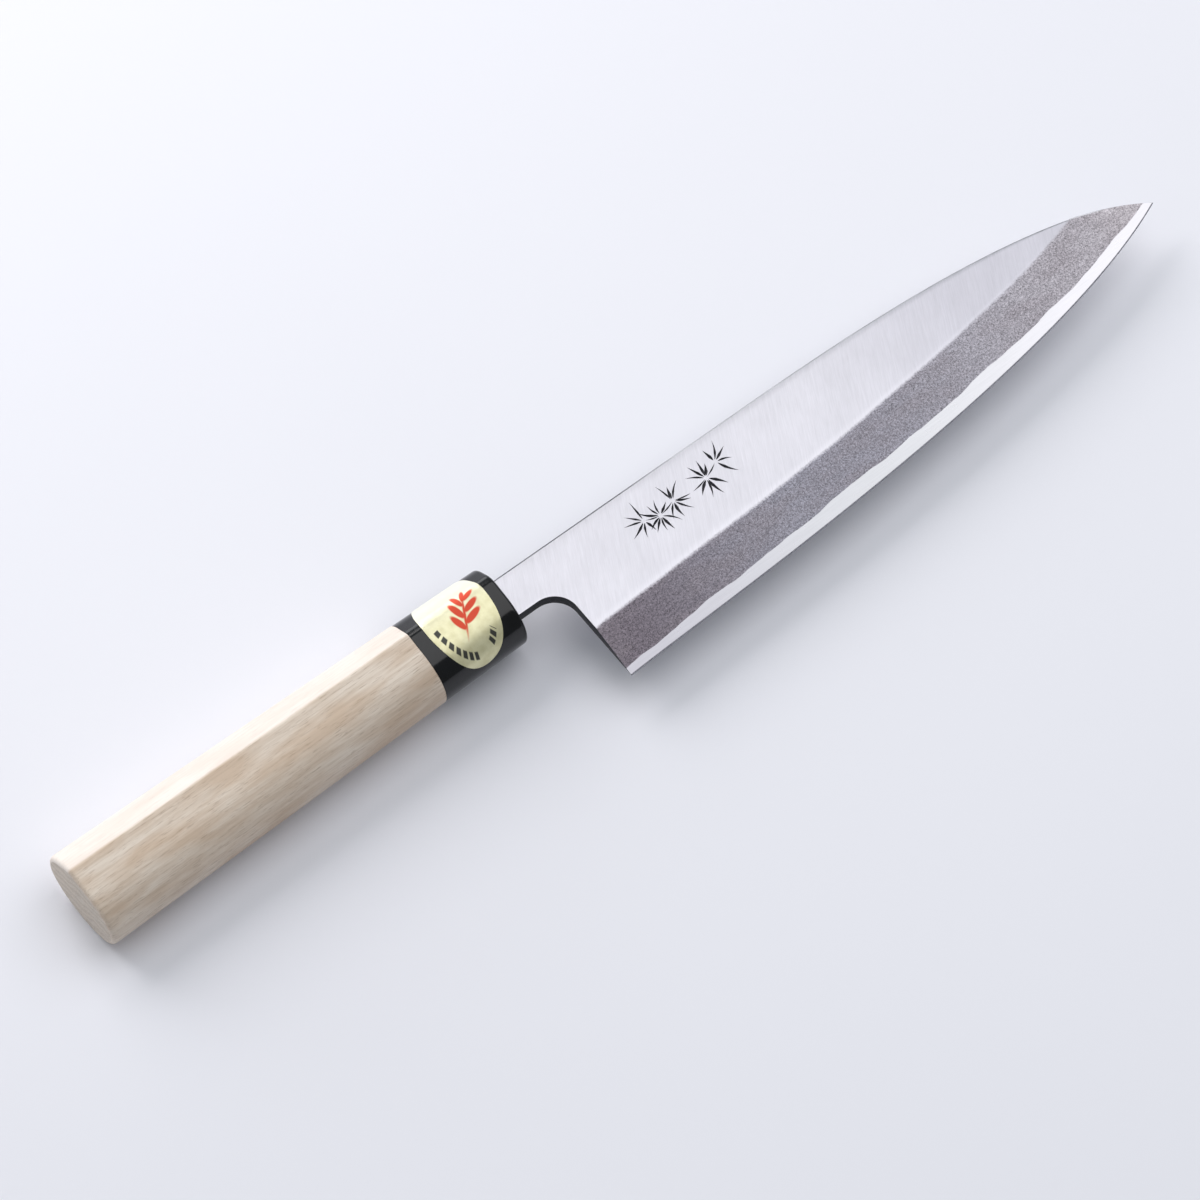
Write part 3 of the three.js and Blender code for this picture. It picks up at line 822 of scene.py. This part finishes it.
def engraved_strokes():
    """Lists of strokes to cut one after another: the twig in segments that stop short of its joints, then
    the leaves, dealt out so that neighbours in a fan, and neighbouring fans, are in different lists.
    """
    twig = []
    for first, second in zip(TWIG, TWIG[1:]):
        start, end = (tuple(between(a, b, share) for a, b in zip(first, second)) for share in TWIG_ENDS)
        bend = (between(start[0], end[0], 0.5), between(start[1], end[1], 0.5) - TWIG_SAG)
        twig.append(leaf(start, bend, end, TWIG_WIDTH, 0.5))
    apart = {}
    chance = random.Random(LEAF_SEED)
    for number, fan in enumerate(LEAF_FANS):
        joint = TWIG[fan["joint"]]
        for k in range(fan["leaves"]):
            share = k / (fan["leaves"] - 1) - 0.5
            wobble = chance.uniform(-LEAF_WOBBLE, LEAF_WOBBLE)
            angle = math.radians(fan["heading"] + fan["spread"] * share + wobble)
            length = chance.uniform(*LEAF_LENGTH)
            bow = chance.uniform(-LEAF_BOW, LEAF_BOW) * length
            along = (math.cos(angle), math.sin(angle))
            start, end = ((joint[0] + along[0] * d, joint[1] + along[1] * d) for d in (LEAF_START, length))
            bend = (joint[0] + along[0] * length * 0.55 - along[1] * bow,
                    joint[1] + along[1] * length * 0.55 + along[0] * bow)
            stroke = leaf(start, bend, end, chance.uniform(*LEAF_WIDTH))
            apart.setdefault((number % 4, k % 2), []).append(stroke)
    return [twig, *apart.values()]


def groove_cutter(strokes, material):
    """Strokes as closed V-shaped prisms."""
    vertices, faces = [], []
    steps = 14
    for stroke in strokes:
        a, b, c = (np.array(q, float) for q in stroke["line"])
        rings = []
        for i in range(steps + 1):
            t = i / steps
            point = (1 - t) ** 2 * a + 2 * t * (1 - t) * b + t ** 2 * c
            heading = 2 * (1 - t) * (b - a) + 2 * t * (c - b)
            side = np.array([-heading[1], heading[0]]) / np.hypot(*heading)
            swell = stroke["swell"]
            fat = (t / swell) ** 0.6 if t < swell else ((1 - t) / (1 - swell)) ** 0.9
            half = max(0.02, 0.5 * stroke["width"] * fat)
            deep = min(GROOVE_DEPTH, 0.06 + 0.7 * half)
            x, y = point[0] + HEEL_X, point[1]
            face = BACK_Z + thickness_at(x)
            above = 0.1
            wide = half * (deep + above) / deep
            rings.append([
                (x + side[0] * wide, y + side[1] * wide, face + above),
                (x - side[0] * wide, y - side[1] * wide, face + above),
                (x, y, face - deep),
            ])
        ring_vertices, ring_faces = loft(rings)
        base = len(vertices)
        vertices += ring_vertices
        faces += [tuple(base + k for k in f) for f in ring_faces]
    return make_object("strokes", vertices, faces, [material])


def engrave(blade):
    material = chiselled_line()
    for strokes in engraved_strokes():
        cut(blade, groove_cutter(strokes, material))


# -------- handle sections

OVAL_STEPS = 132
FLANK_STEPS = 7
RIDGE_STEPS = 5


def oval_at(x, inset=0.0):
    share = -x / HANDLE_LENGTH
    size = {key: between(FRONT[key], BUTT[key], share) for key in FRONT}
    return size["width"] / 2 - inset, size["thickness"] / 2 - inset, size["y"], size["z"], size["ridge"]


def oval_point(oval, angle):
    half_y, half_z, y, z, _ = oval
    c, s = math.cos(angle), math.sin(angle)
    return np.array([
        y + half_y * math.copysign(abs(c) ** (2 / OVAL_POWER), c),
        z + half_z * math.copysign(abs(s) ** (2 / OVAL_POWER), s),
    ])


def ridge_point(oval):
    half_y, half_z, y, z, ridge = oval
    reach = abs((ridge - y) / half_y)
    return np.array([ridge, z + half_z * (1 - reach ** OVAL_POWER) ** (1 / OVAL_POWER) + RIDGE_RISE])


def flank_angle(oval, side):
    """Angle on the oval where a flank that falls from the ridge touches it."""
    ridge = ridge_point(oval)
    best, least = math.pi / 2, math.inf
    for i in range(601):
        angle = math.pi / 2 - side * math.pi / 2 * i / 600
        point = oval_point(oval, angle)
        out = side * (point[0] - ridge[0])
        if out > 1e-6 and (ridge[1] - point[1]) / out < least:
            least = (ridge[1] - point[1]) / out
            best = angle
    return best


def d_outline(x, inset=0.0, soft=RIDGE_ROUND_COLLAR):
    """D-shaped section. The flanks run into a round that starts the distance soft from the ridge."""
    oval = oval_at(x, inset)
    ridge = ridge_point(oval)
    start = flank_angle(oval, -1)
    stop = flank_angle(oval, 1) + 2 * math.pi
    points = [oval_point(oval, between(start, stop, i / OVAL_STEPS)) for i in range(OVAL_STEPS + 1)]
    first, last = points[0], points[-1]
    into = ridge + (last - ridge) / np.hypot(*(last - ridge)) * soft
    away = ridge + (first - ridge) / np.hypot(*(first - ridge)) * soft
    points += [between(last, into, i / FLANK_STEPS) for i in range(1, FLANK_STEPS + 1)]
    for i in range(1, RIDGE_STEPS):
        t = i / RIDGE_STEPS
        points.append((1 - t) ** 2 * into + 2 * t * (1 - t) * ridge + t ** 2 * away)
    points += [between(away, first, i / FLANK_STEPS) for i in range(FLANK_STEPS)]
    return points


def d_ring(x, inset=0.0, soft=RIDGE_ROUND_COLLAR):
    return [(x, y, z) for y, z in d_outline(x, inset, soft)]


def tenon_ring(x, inset):
    oval = oval_at(x, inset)
    count = len(d_outline(x))
    start = flank_angle(oval, -1)
    return [(x, *oval_point(oval, start + 2 * math.pi * i / count)) for i in range(count)]


def tang_slot(x0, x1, margin):
    """Body that cuts the burnt-in hole for the tang and its bedding."""
    sections = []
    for x in (x0, x1):
        share = (-NECK_SEAT - x) / (TANG_LENGTH - NECK_SEAT)
        half_y = between(*TANG_HEIGHT, share) / 2 + margin
        half_z = between(*TANG_THICKNESS, share) / 2 + margin
        sections.append((x, (TANG_CENTRE_Y - half_y, TANG_CENTRE_Y + half_y), (-half_z, half_z)))
    return make_object("slot", *loft(box_rings(sections)))


# -------- handle finishes

# y of the ridge in the row frame is RIDGE_START + RIDGE_DRIFT * x
RIDGE_DRIFT = (FRONT["ridge"] - BUTT["ridge"]) / HANDLE_LENGTH
RIDGE_START = FRONT["ridge"] + shift[1] - RIDGE_DRIFT * shift[0]


def magnolia():
    """Pale magnolia: fine fibres, short brown pores and faint tan patches. The spine-side flank is painted
    near white, a painted highlight.
    """
    p = Paint("magnolia_wood", Metallic=0.0, Specular_IOR_Level=0.3)
    x, y, z = p.split(p.mm)
    wander = p.noise(p.turned(p.mm, stretch=(0.02, 0.12, 0.12)), 1.0, 2.0, 0.5)
    across = p.plus(p.times(y, 0.9), p.times(z, 0.5))
    across = p.plus(across, p.times(wander, 6.0))
    rings = p.maths("SINE", p.times(across, 2 * math.pi / 3.1))
    pores = p.noise(p.turned(p.mm, stretch=(0.26, 3.4, 3.4)), 1.0, 2.0, 0.6)
    fibre = p.noise(p.turned(p.mm, stretch=(0.07, 1.9, 1.9)), 1.0, 4.0, 0.7)
    patch = p.noise(p.turned(p.mm, stretch=(0.05, 0.2, 0.2)), 1.0, 3.0, 0.55)
    base = p.blend(p.span(patch, 0.38, 0.64), (0.75, 0.66, 0.57), (0.62, 0.49, 0.38))
    base = p.blend(p.span(rings, 0.2, 1.0, 0.0, 0.18), base, (0.52, 0.40, 0.30))
    base = p.blend(p.span(fibre, 0.44, 0.66, 0.0, 0.42), base, (0.47, 0.355, 0.26))
    marks = p.span(pores, 0.59, 0.68, 0.0, 0.42)
    base = p.blend(marks, base, (0.31, 0.21, 0.145))
    # painted highlight: the flank between ridge and spine side is painted nearly white, where it faces the
    # light
    lean = p.minus(y, p.plus(p.times(x, RIDGE_DRIFT), RIDGE_START))
    painted_lit_flank = p.span(lean, -0.4, 0.5, 0.0, 0.55, smooth=True)
    colour = p.blend(painted_lit_flank, base, (0.855, 0.80, 0.77))
    height = p.minus(p.times(fibre, 0.6), p.times(marks, 0.5))
    rough = p.span(fibre, 0.3, 0.7, 0.5, 0.66)
    return p.finish(colour, rough, p.bump(height, 0.04, 0.55))


def end_grain():
    """Sawn butt: the same wood seen across its fibres, greyer, with fine dots and growth arcs."""
    p = Paint("magnolia_end_grain", Metallic=0.0, Specular_IOR_Level=0.2)
    _, y, z = p.split(p.mm)
    wander = p.noise(p.mm, 0.12, 2.0, 0.5)
    across = p.plus(p.times(y, 0.35), p.times(z, 0.9))
    across = p.plus(across, p.times(wander, 7.0))
    rings = p.maths("SINE", p.times(across, 2 * math.pi / 2.6))
    dots = p.noise(p.mm, 3.4, 2.0, 0.7)
    saw = p.noise(p.turned(p.mm, turn=(35, 0, 0), stretch=(1.0, 0.2, 2.2)), 1.0, 3.0, 0.6)
    base = p.blend(p.span(rings, -0.3, 1.0, 0.0, 0.7), (0.68, 0.60, 0.52), (0.56, 0.475, 0.40))
    base = p.blend(p.span(saw, 0.4, 0.65, 0.0, 0.35), base, (0.60, 0.57, 0.54))
    colour = p.blend(p.span(dots, 0.5, 0.68, 0.0, 0.45), base, (0.34, 0.27, 0.21))
    rough = p.span(dots, 0.3, 0.7, 0.7, 0.85)
    return p.finish(colour, rough, p.bump(saw, 0.06, 0.6))


def black_collar():
    """Glossy black moulded collar with faint rubbing marks."""
    p = Paint("black_gloss_collar", Metallic=0.0, IOR=1.5, Specular_IOR_Level=0.42)
    rub = p.noise(p.turned(p.mm, stretch=(2.5, 0.25, 0.25)), 1.0, 3.0, 0.6)
    flow = p.noise(p.mm, 0.3, 3.0, 0.5)
    colour = p.blend(p.span(flow, 0.35, 0.65), (0.0022, 0.0022, 0.003), (0.004, 0.0042, 0.0055))
    rough = p.span(rub, 0.3, 0.72, 0.08, 0.15)
    return p.finish(colour, rough, p.bump(flow, 0.05, 0.25))


def tang_resin():
    p = Paint("tang_resin", Metallic=0.0)
    lumps = p.noise(p.mm, 0.8, 4.0, 0.6)
    colour = p.blend(p.span(lumps, 0.35, 0.65), (0.10, 0.065, 0.035), (0.20, 0.14, 0.08))
    rough = p.span(lumps, 0.3, 0.7, 0.5, 0.75)
    return p.finish(colour, rough, p.bump(lumps, 0.1, 0.6))


# -------- label

SPRIG_CENTRE = (1.3, 2.0)
SPRIG_LEAN = -62.0  # of its stem, from the handle's line
SPRIG_STEM = 5.0  # half its length
SPRIG_LEAVES = (2.5, 2.7, 2.6, 2.4, 2.1, 1.9)  # half their lengths, from the foot of the stem up
LEAF_SPREAD = 44.0
INK_RED = (0.60, 0.055, 0.02)
INK_BLACK = (0.05, 0.05, 0.042)


def sprig_ovals():
    """Centre, half sizes and heading of the stem and of the leaves that alternate along it."""
    def along(start, heading, distance):
        angle = math.radians(heading)
        return (start[0] + math.cos(angle) * distance, start[1] + math.sin(angle) * distance)

    foot = along(SPRIG_CENTRE, SPRIG_LEAN, -SPRIG_STEM)
    ovals = [(SPRIG_CENTRE, (SPRIG_STEM, 0.32), SPRIG_LEAN)]
    for step, half in enumerate(SPRIG_LEAVES):
        heading = SPRIG_LEAN + (LEAF_SPREAD if step % 2 else -LEAF_SPREAD)
        root = along(foot, SPRIG_LEAN, 1.5 + 1.45 * step)
        ovals.append((along(root, heading, half), (half, 0.33 * half), heading))
    tip = along(foot, SPRIG_LEAN, 2 * SPRIG_STEM)
    ovals.append((tip, (1.7, 0.6), SPRIG_LEAN))
    return ovals


def oval_mask(p, place_at, centre, half, heading, soft=0.12):
    """1 inside an oval of the label that lies along its heading, 0 outside, with a soft rim in mm."""
    local = p.vector("SUBTRACT", place_at, (*centre, 0.0))
    local = p.turned(local, turn=(0, 0, -heading))
    reach = p.vector("LENGTH", p.vector("MULTIPLY", local, (1 / half[0], 1 / half[1], 0.0)))
    rim = soft / min(half)
    return p.span(reach, 1 - rim, 1 + rim, 1.0, 0.0)


def gold_label():
    """Gold foil printed with a plain red sprig of leaves and rows of small dark dashes."""
    p = Paint("gold_foil_label", Metallic=0.4)
    at = p.attribute("label_mm")
    red = 0.0
    for centre, half, heading in sprig_ovals():
        red = p.maths("MAXIMUM", red, oval_mask(p, at, centre, half, heading))
    # dashes follow the rim of the oval
    edge = p.vector("MULTIPLY", at, (2 / LABEL_LENGTH, 2 / LABEL_GIRTH, 0.0))
    rho = p.vector("LENGTH", edge)
    ex, ey, _ = p.split(edge)
    angle = p.maths("ARCTAN2", ey, ex)
    in_row = p.span(p.maths("ABSOLUTE", p.minus(rho, 0.77)), 0.062, 0.082, 1.0, 0.0)
    beat = p.maths("FRACT", p.times(angle, 5.2))
    dash = p.span(p.maths("ABSOLUTE", p.minus(beat, 0.5)), 0.30, 0.38, 1.0, 0.0)
    left = p.times(p.maths("GREATER_THAN", angle, 1.75), p.maths("LESS_THAN", angle, 3.05))
    right = p.times(p.maths("GREATER_THAN", angle, 0.72), p.maths("LESS_THAN", angle, 1.18))
    black = p.times(p.times(in_row, dash), p.maths("MAXIMUM", left, right))
    crinkle = p.noise(p.mm, 0.5, 3.0, 0.5)
    fine = p.noise(p.mm, 6.0, 2.0, 0.6)
    foil = p.blend(p.span(crinkle, 0.35, 0.65), (0.65, 0.61, 0.36), (0.76, 0.725, 0.47))
    foil = p.blend(p.span(fine, 0.3, 0.7, 0.0, 0.15), foil, (0.80, 0.78, 0.6))
    # painted highlight: the foil is painted pale where it wraps over the ridge and faces the light
    girth = p.split(at)[1]
    foil = p.blend(p.span(girth, 2.0, -9.0, 0.0, 0.8, smooth=True), foil, (0.90, 0.89, 0.81))
    colour = p.blend(red, foil, INK_RED)
    colour = p.blend(black, colour, INK_BLACK)
    ink = p.maths("MAXIMUM", red, black)
    rough = p.plus(p.times(ink, 0.12), p.span(fine, 0.3, 0.7, 0.3, 0.38))
    height = p.plus(p.times(crinkle, 0.7), p.times(ink, 0.3))
    return p.finish(colour, rough, p.bump(height, 0.05, 0.4))


def girth_frame(x):
    """Points of a section from the ridge towards the edge side, their girths and outward normals."""
    outline = np.array(d_outline(x))
    ridge = OVAL_STEPS + FLANK_STEPS + RIDGE_STEPS // 2
    order = np.roll(outline, -ridge, axis=0)
    step = np.hypot(*(np.roll(order, -1, axis=0) - order).T)
    girth = np.concatenate([[0], np.cumsum(step)])[:-1]
    total = float(step.sum())
    tangent = np.roll(order, -1, axis=0) - np.roll(order, 1, axis=0)
    normal = np.stack([tangent[:, 1], -tangent[:, 0]], axis=1)
    normal /= np.hypot(*normal.T)[:, None]
    return order, girth, total, normal


def on_girth(data, g):
    order, girth, total, normal = data
    g = g % total
    wrap = np.append(girth, total)
    point = [np.interp(g, wrap, np.append(order[:, k], order[0, k])) for k in (0, 1)]
    out = [np.interp(g, wrap, np.append(normal[:, k], normal[0, k])) for k in (0, 1)]
    return np.array(point), np.array(out)


def label_faces(rings, spokes):
    """Faces of the printed side, the glued side and the rim between them."""
    layer = (rings + 1) * spokes
    faces = []
    for base in (0, layer):
        for i in range(rings):
            inner, outer = base + i * spokes, base + (i + 1) * spokes
            for j in range(spokes):
                k = (j + 1) % spokes
                quad = (inner + j, inner + k, outer + k, outer + j)
                faces.append(quad[::-1] if base else quad)
    rim = rings * spokes
    for j in range(spokes):
        k = (j + 1) % spokes
        faces.append((rim + j, rim + k, layer + rim + k, layer + rim + j))
    return faces


def build_label(material):
    """Oval foil that follows the collar's section, as rings from its middle to its rim."""
    rings, spokes, steps = 26, 120, 25
    vertices, places = [], []
    reach = LABEL_LENGTH / 2
    xs = np.linspace(LABEL_CENTRE_X - reach - 0.1, LABEL_CENTRE_X + reach + 0.1, steps)
    sections = [girth_frame(x) for x in xs]
    for lift in (LABEL_GLUE + LABEL_THICKNESS, LABEL_GLUE):
        for i in range(rings + 1):
            radius = i / rings
            for j in range(spokes):
                a = 2 * math.pi * j / spokes
                dx = radius * LABEL_LENGTH / 2 * math.cos(a)
                dg = radius * LABEL_GIRTH / 2 * math.sin(a)
                x = LABEL_CENTRE_X + dx
                k = min(int((x - xs[0]) / (xs[1] - xs[0])), steps - 2)
                share = (x - xs[k]) / (xs[k + 1] - xs[k])
                g = LABEL_CENTRE_GIRTH + dg
                (p0, n0), (p1, n1) = on_girth(sections[k], g), on_girth(sections[k + 1], g)
                point, out = between(p0, p1, share), between(n0, n1, share)
                # the rim of the printed face is a little rounded
                drop = 0.35 * LABEL_THICKNESS if (i == rings and lift > LABEL_GLUE) else 0.0
                point = point + out * (lift - drop)
                vertices.append((x, point[0], point[1]))
                places.append((dx, dg, 0.0))
    mesh = bpy.data.meshes.new("foil_label")
    points = [tuple((np.array(v) + shift) * MM) for v in vertices]
    mesh.from_pydata(points, [], label_faces(rings, spokes))
    attribute = mesh.attributes.new("label_mm", "FLOAT_VECTOR", "POINT")
    attribute.data.foreach_set("vector", np.array(places, np.float32).ravel())
    mesh.materials.append(material)
    clean(mesh)
    finish_shading(mesh, LABEL_SMOOTH_ANGLE)
    return link("foil_label", mesh)


# -------- collar and wood


def build_collar(material):
    rings = [d_ring(-FERRULE_LENGTH), d_ring(-FERRULE_LENGTH + 0.3)]
    rings += [d_ring(x) for x in np.linspace(-FERRULE_LENGTH + 1, -FERRULE_LIP - 0.5, 12)]
    for i in range(7):
        a = math.pi / 2 * i / 6
        x = -FERRULE_LIP + FERRULE_LIP * math.sin(a)
        rings.append(d_ring(x, FERRULE_LIP * (1 - math.cos(a))))
    collar = make_object("black_collar", *loft(rings), [material])
    bore = [tenon_ring(x, FERRULE_WALL) for x in (-FERRULE_LENGTH - 1, -FERRULE_FRONT_WALL)]
    cut(collar, make_object("bore", *loft(bore)))
    neck_z = (BACK_Z - MOUTH_CLEARANCE, BACK_Z + thickness_at(0) + MOUTH_CLEARANCE)
    neck_y = (NECK_UNDERSIDE_Y - MOUTH_CLEARANCE, SPINE_Y + MOUTH_CLEARANCE)
    mouth = box_rings([(x, neck_y, neck_z) for x in (-NECK_SEAT - GLUE_GAP, 1)])
    cut(collar, make_object("mouth", *loft(mouth)))
    cut(collar, tang_slot(-NECK_SEAT + GLUE_GAP, -FERRULE_FRONT_WALL - 1, SLOT_MARGIN))
    return collar


def build_wood(side, butt):
    """Handle with a chamfered butt, a slightly proud shoulder against the collar, and its tenon."""
    def ring(x, inset):
        return d_ring(x, inset, RIDGE_ROUND_WOOD)

    rings = [ring(-HANDLE_LENGTH, BUTT_CHAMFER)]
    for i in range(1, 5):
        a = math.pi / 2 * i / 4
        x = -HANDLE_LENGTH + BUTT_CHAMFER * (1 - math.cos(a))
        rings.append(ring(x, BUTT_CHAMFER * (1 - math.sin(a))))
    front = -FERRULE_LENGTH - GLUE_GAP
    for x in np.linspace(-HANDLE_LENGTH + 1.5, front - 1.2, 30):
        proud = WOOD_PROUD * min(1.0, (x + HANDLE_LENGTH) / 60)
        rings.append(ring(x, -proud))
    rings += [ring(front - 0.25, -WOOD_PROUD), ring(front - 0.08, -WOOD_PROUD * 0.6), ring(front, 0.1)]
    inset = FERRULE_WALL + 0.1
    tenon_front = -FERRULE_FRONT_WALL - 0.5
    rings += [tenon_ring(front, inset), tenon_ring(tenon_front - 0.5, inset)]
    rings.append(tenon_ring(tenon_front, inset + 0.4))
    vertices, faces = loft(rings)
    marks = [0] * (len(faces) - 2) + [1, 1]
    wood = make_object("wood_handle", vertices, faces, [side, butt], marks)
    return cut(wood, tang_slot(0, -TANG_LENGTH - SLOT_REACH, SLOT_MARGIN))


# -------- the object


def build_knife():
    # scale carries the near-black material of the choil and neck, which is painted shade
    spine, scale = spine_steel(), paint_choil_dark()
    iron = build_iron([ground_iron(), spine, scale])
    engrave(iron)
    measure_shinogi(iron)
    bright = honed_steel()
    steel = build_steel([bright, spine, scale, edge_bevel_painted_dark()])
    collar = build_collar(black_collar())
    label = build_label(gold_label())
    wood = build_wood(magnolia(), end_grain())
    for piece, node, slot in (
        (iron, "jigane_body", "soft_iron"),
        (steel, "hagane_edge", "hard_steel"),
        (collar, "ferrule", "black_plastic"),
        (label, "label", "gold_foil"),
        (wood, "handle_wood", "magnolia_wood"),
    ):
        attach(piece, "root")
        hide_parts(node)
    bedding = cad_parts["tang_bedding"]
    bedding.data.materials.clear()
    bedding.data.materials.append(tang_resin())


# -------- stage

FLOOR_HALF = 4.0
FLOOR_TONES = (0.79, 0.793, 0.852), (0.81, 0.812, 0.868)
ROOM_COLOUR = (0.91, 0.975, 1.0, 1.0)
ROOM_SPAN = (-0.65, 0.65)
ROOM_STRENGTH = (0.24, 0.54)
CAMERA_EYE = (-509.2, -685.82, 1744.84)
CAMERA_AIM = (20.87, -10.60, -6.57)
CAMERA_LENS = 243.99

def build_floor():
    p = Paint("pale_table", Metallic=0.0, Specular_IOR_Level=0.15)
    haze = p.noise(p.mm, 0.006, 2.0, 0.5)
    colour = p.blend(haze, *FLOOR_TONES)
    fine = p.noise(p.mm, 3.0, 2.0, 0.6)
    p.finish(colour, p.span(fine, 0.3, 0.7, 0.78, 0.84))
    half = FLOOR_HALF
    mesh = bpy.data.meshes.new("table_top")
    corners = [(-half, -half, 0), (half, -half, 0), (half, half, 0), (-half, half, 0)]
    mesh.from_pydata(corners, [], [(0, 1, 2, 3)])
    mesh.materials.append(p.material)
    floor = link("table_top", mesh)


def soft_light(name, direction, distance, size, power, colour):
    """Rectangle of light that faces the frame's origin."""
    data = bpy.data.lights.new(name, "AREA")
    data.shape = "RECTANGLE"
    data.size, data.size_y = size
    data.energy = power
    data.color = colour
    light = link(name, data)
    toward = Vector(direction).normalized()
    light.location = toward * distance
    light.rotation_mode = "QUATERNION"
    light.rotation_quaternion = (-toward).to_track_quat("-Z", "Y")
    light.visible_camera = False


def elevated(x, y, degrees):
    """Direction with the given heading and height above the horizon."""
    flat = math.hypot(x, y)
    c, s = math.cos(math.radians(degrees)), math.sin(math.radians(degrees))
    return (x / flat * c, y / flat * c, s)


def build_lights():
    world = bpy.data.worlds.new("studio")
    world.use_nodes = True
    nodes, links = world.node_tree.nodes, world.node_tree.links
    background = nodes["Background"]
    background.inputs["Color"].default_value = ROOM_COLOUR
    # the room is light on the window's side and dark behind the camera
    heading = nodes.new("ShaderNodeTexCoord")
    axes = nodes.new("ShaderNodeSeparateXYZ")
    glow = nodes.new("ShaderNodeMapRange")
    glow.interpolation_type = "SMOOTHSTEP"
    for socket, value in zip(glow.inputs[1:5], (*ROOM_SPAN, *ROOM_STRENGTH)):
        socket.default_value = value
    links.new(heading.outputs["Generated"], axes.inputs[0])
    links.new(axes.outputs[1], glow.inputs[0])
    links.new(glow.outputs[0], background.inputs["Strength"])
    bpy.context.scene.world = world
    soft_light("window", elevated(-0.2, 0.98, 38), distance=1.0, size=(0.70, 0.58), power=5.7,
               colour=(1.0, 0.97, 0.955))
    soft_light("low_window", elevated(-0.1, 1.0, 11), distance=1.5, size=(1.6, 0.5), power=5.0,
               colour=(0.96, 0.97, 1.0))
    soft_light("overhead", elevated(0.98, -0.16, 66), distance=1.3, size=(1.3, 1.3), power=8.2,
               colour=(1.0, 0.99, 1.0))


def build_camera():
    """Long lens that looks down the knife from behind the butt, on the edge side."""
    data = bpy.data.cameras.new("camera")
    data.sensor_width = 36.0
    data.lens = CAMERA_LENS
    camera = link("camera", data)
    eye, aim = place(CAMERA_EYE), place(CAMERA_AIM)
    camera.location = eye
    camera.rotation_mode = "QUATERNION"
    camera.rotation_quaternion = (aim - eye).to_track_quat("-Z", "Y")
    data.clip_start, data.clip_end = 0.05, 20.0
    bpy.context.scene.camera = camera


build_knife()
build_floor()
build_lights()
build_camera()
bpy.context.scene.view_settings.view_transform = "Standard"
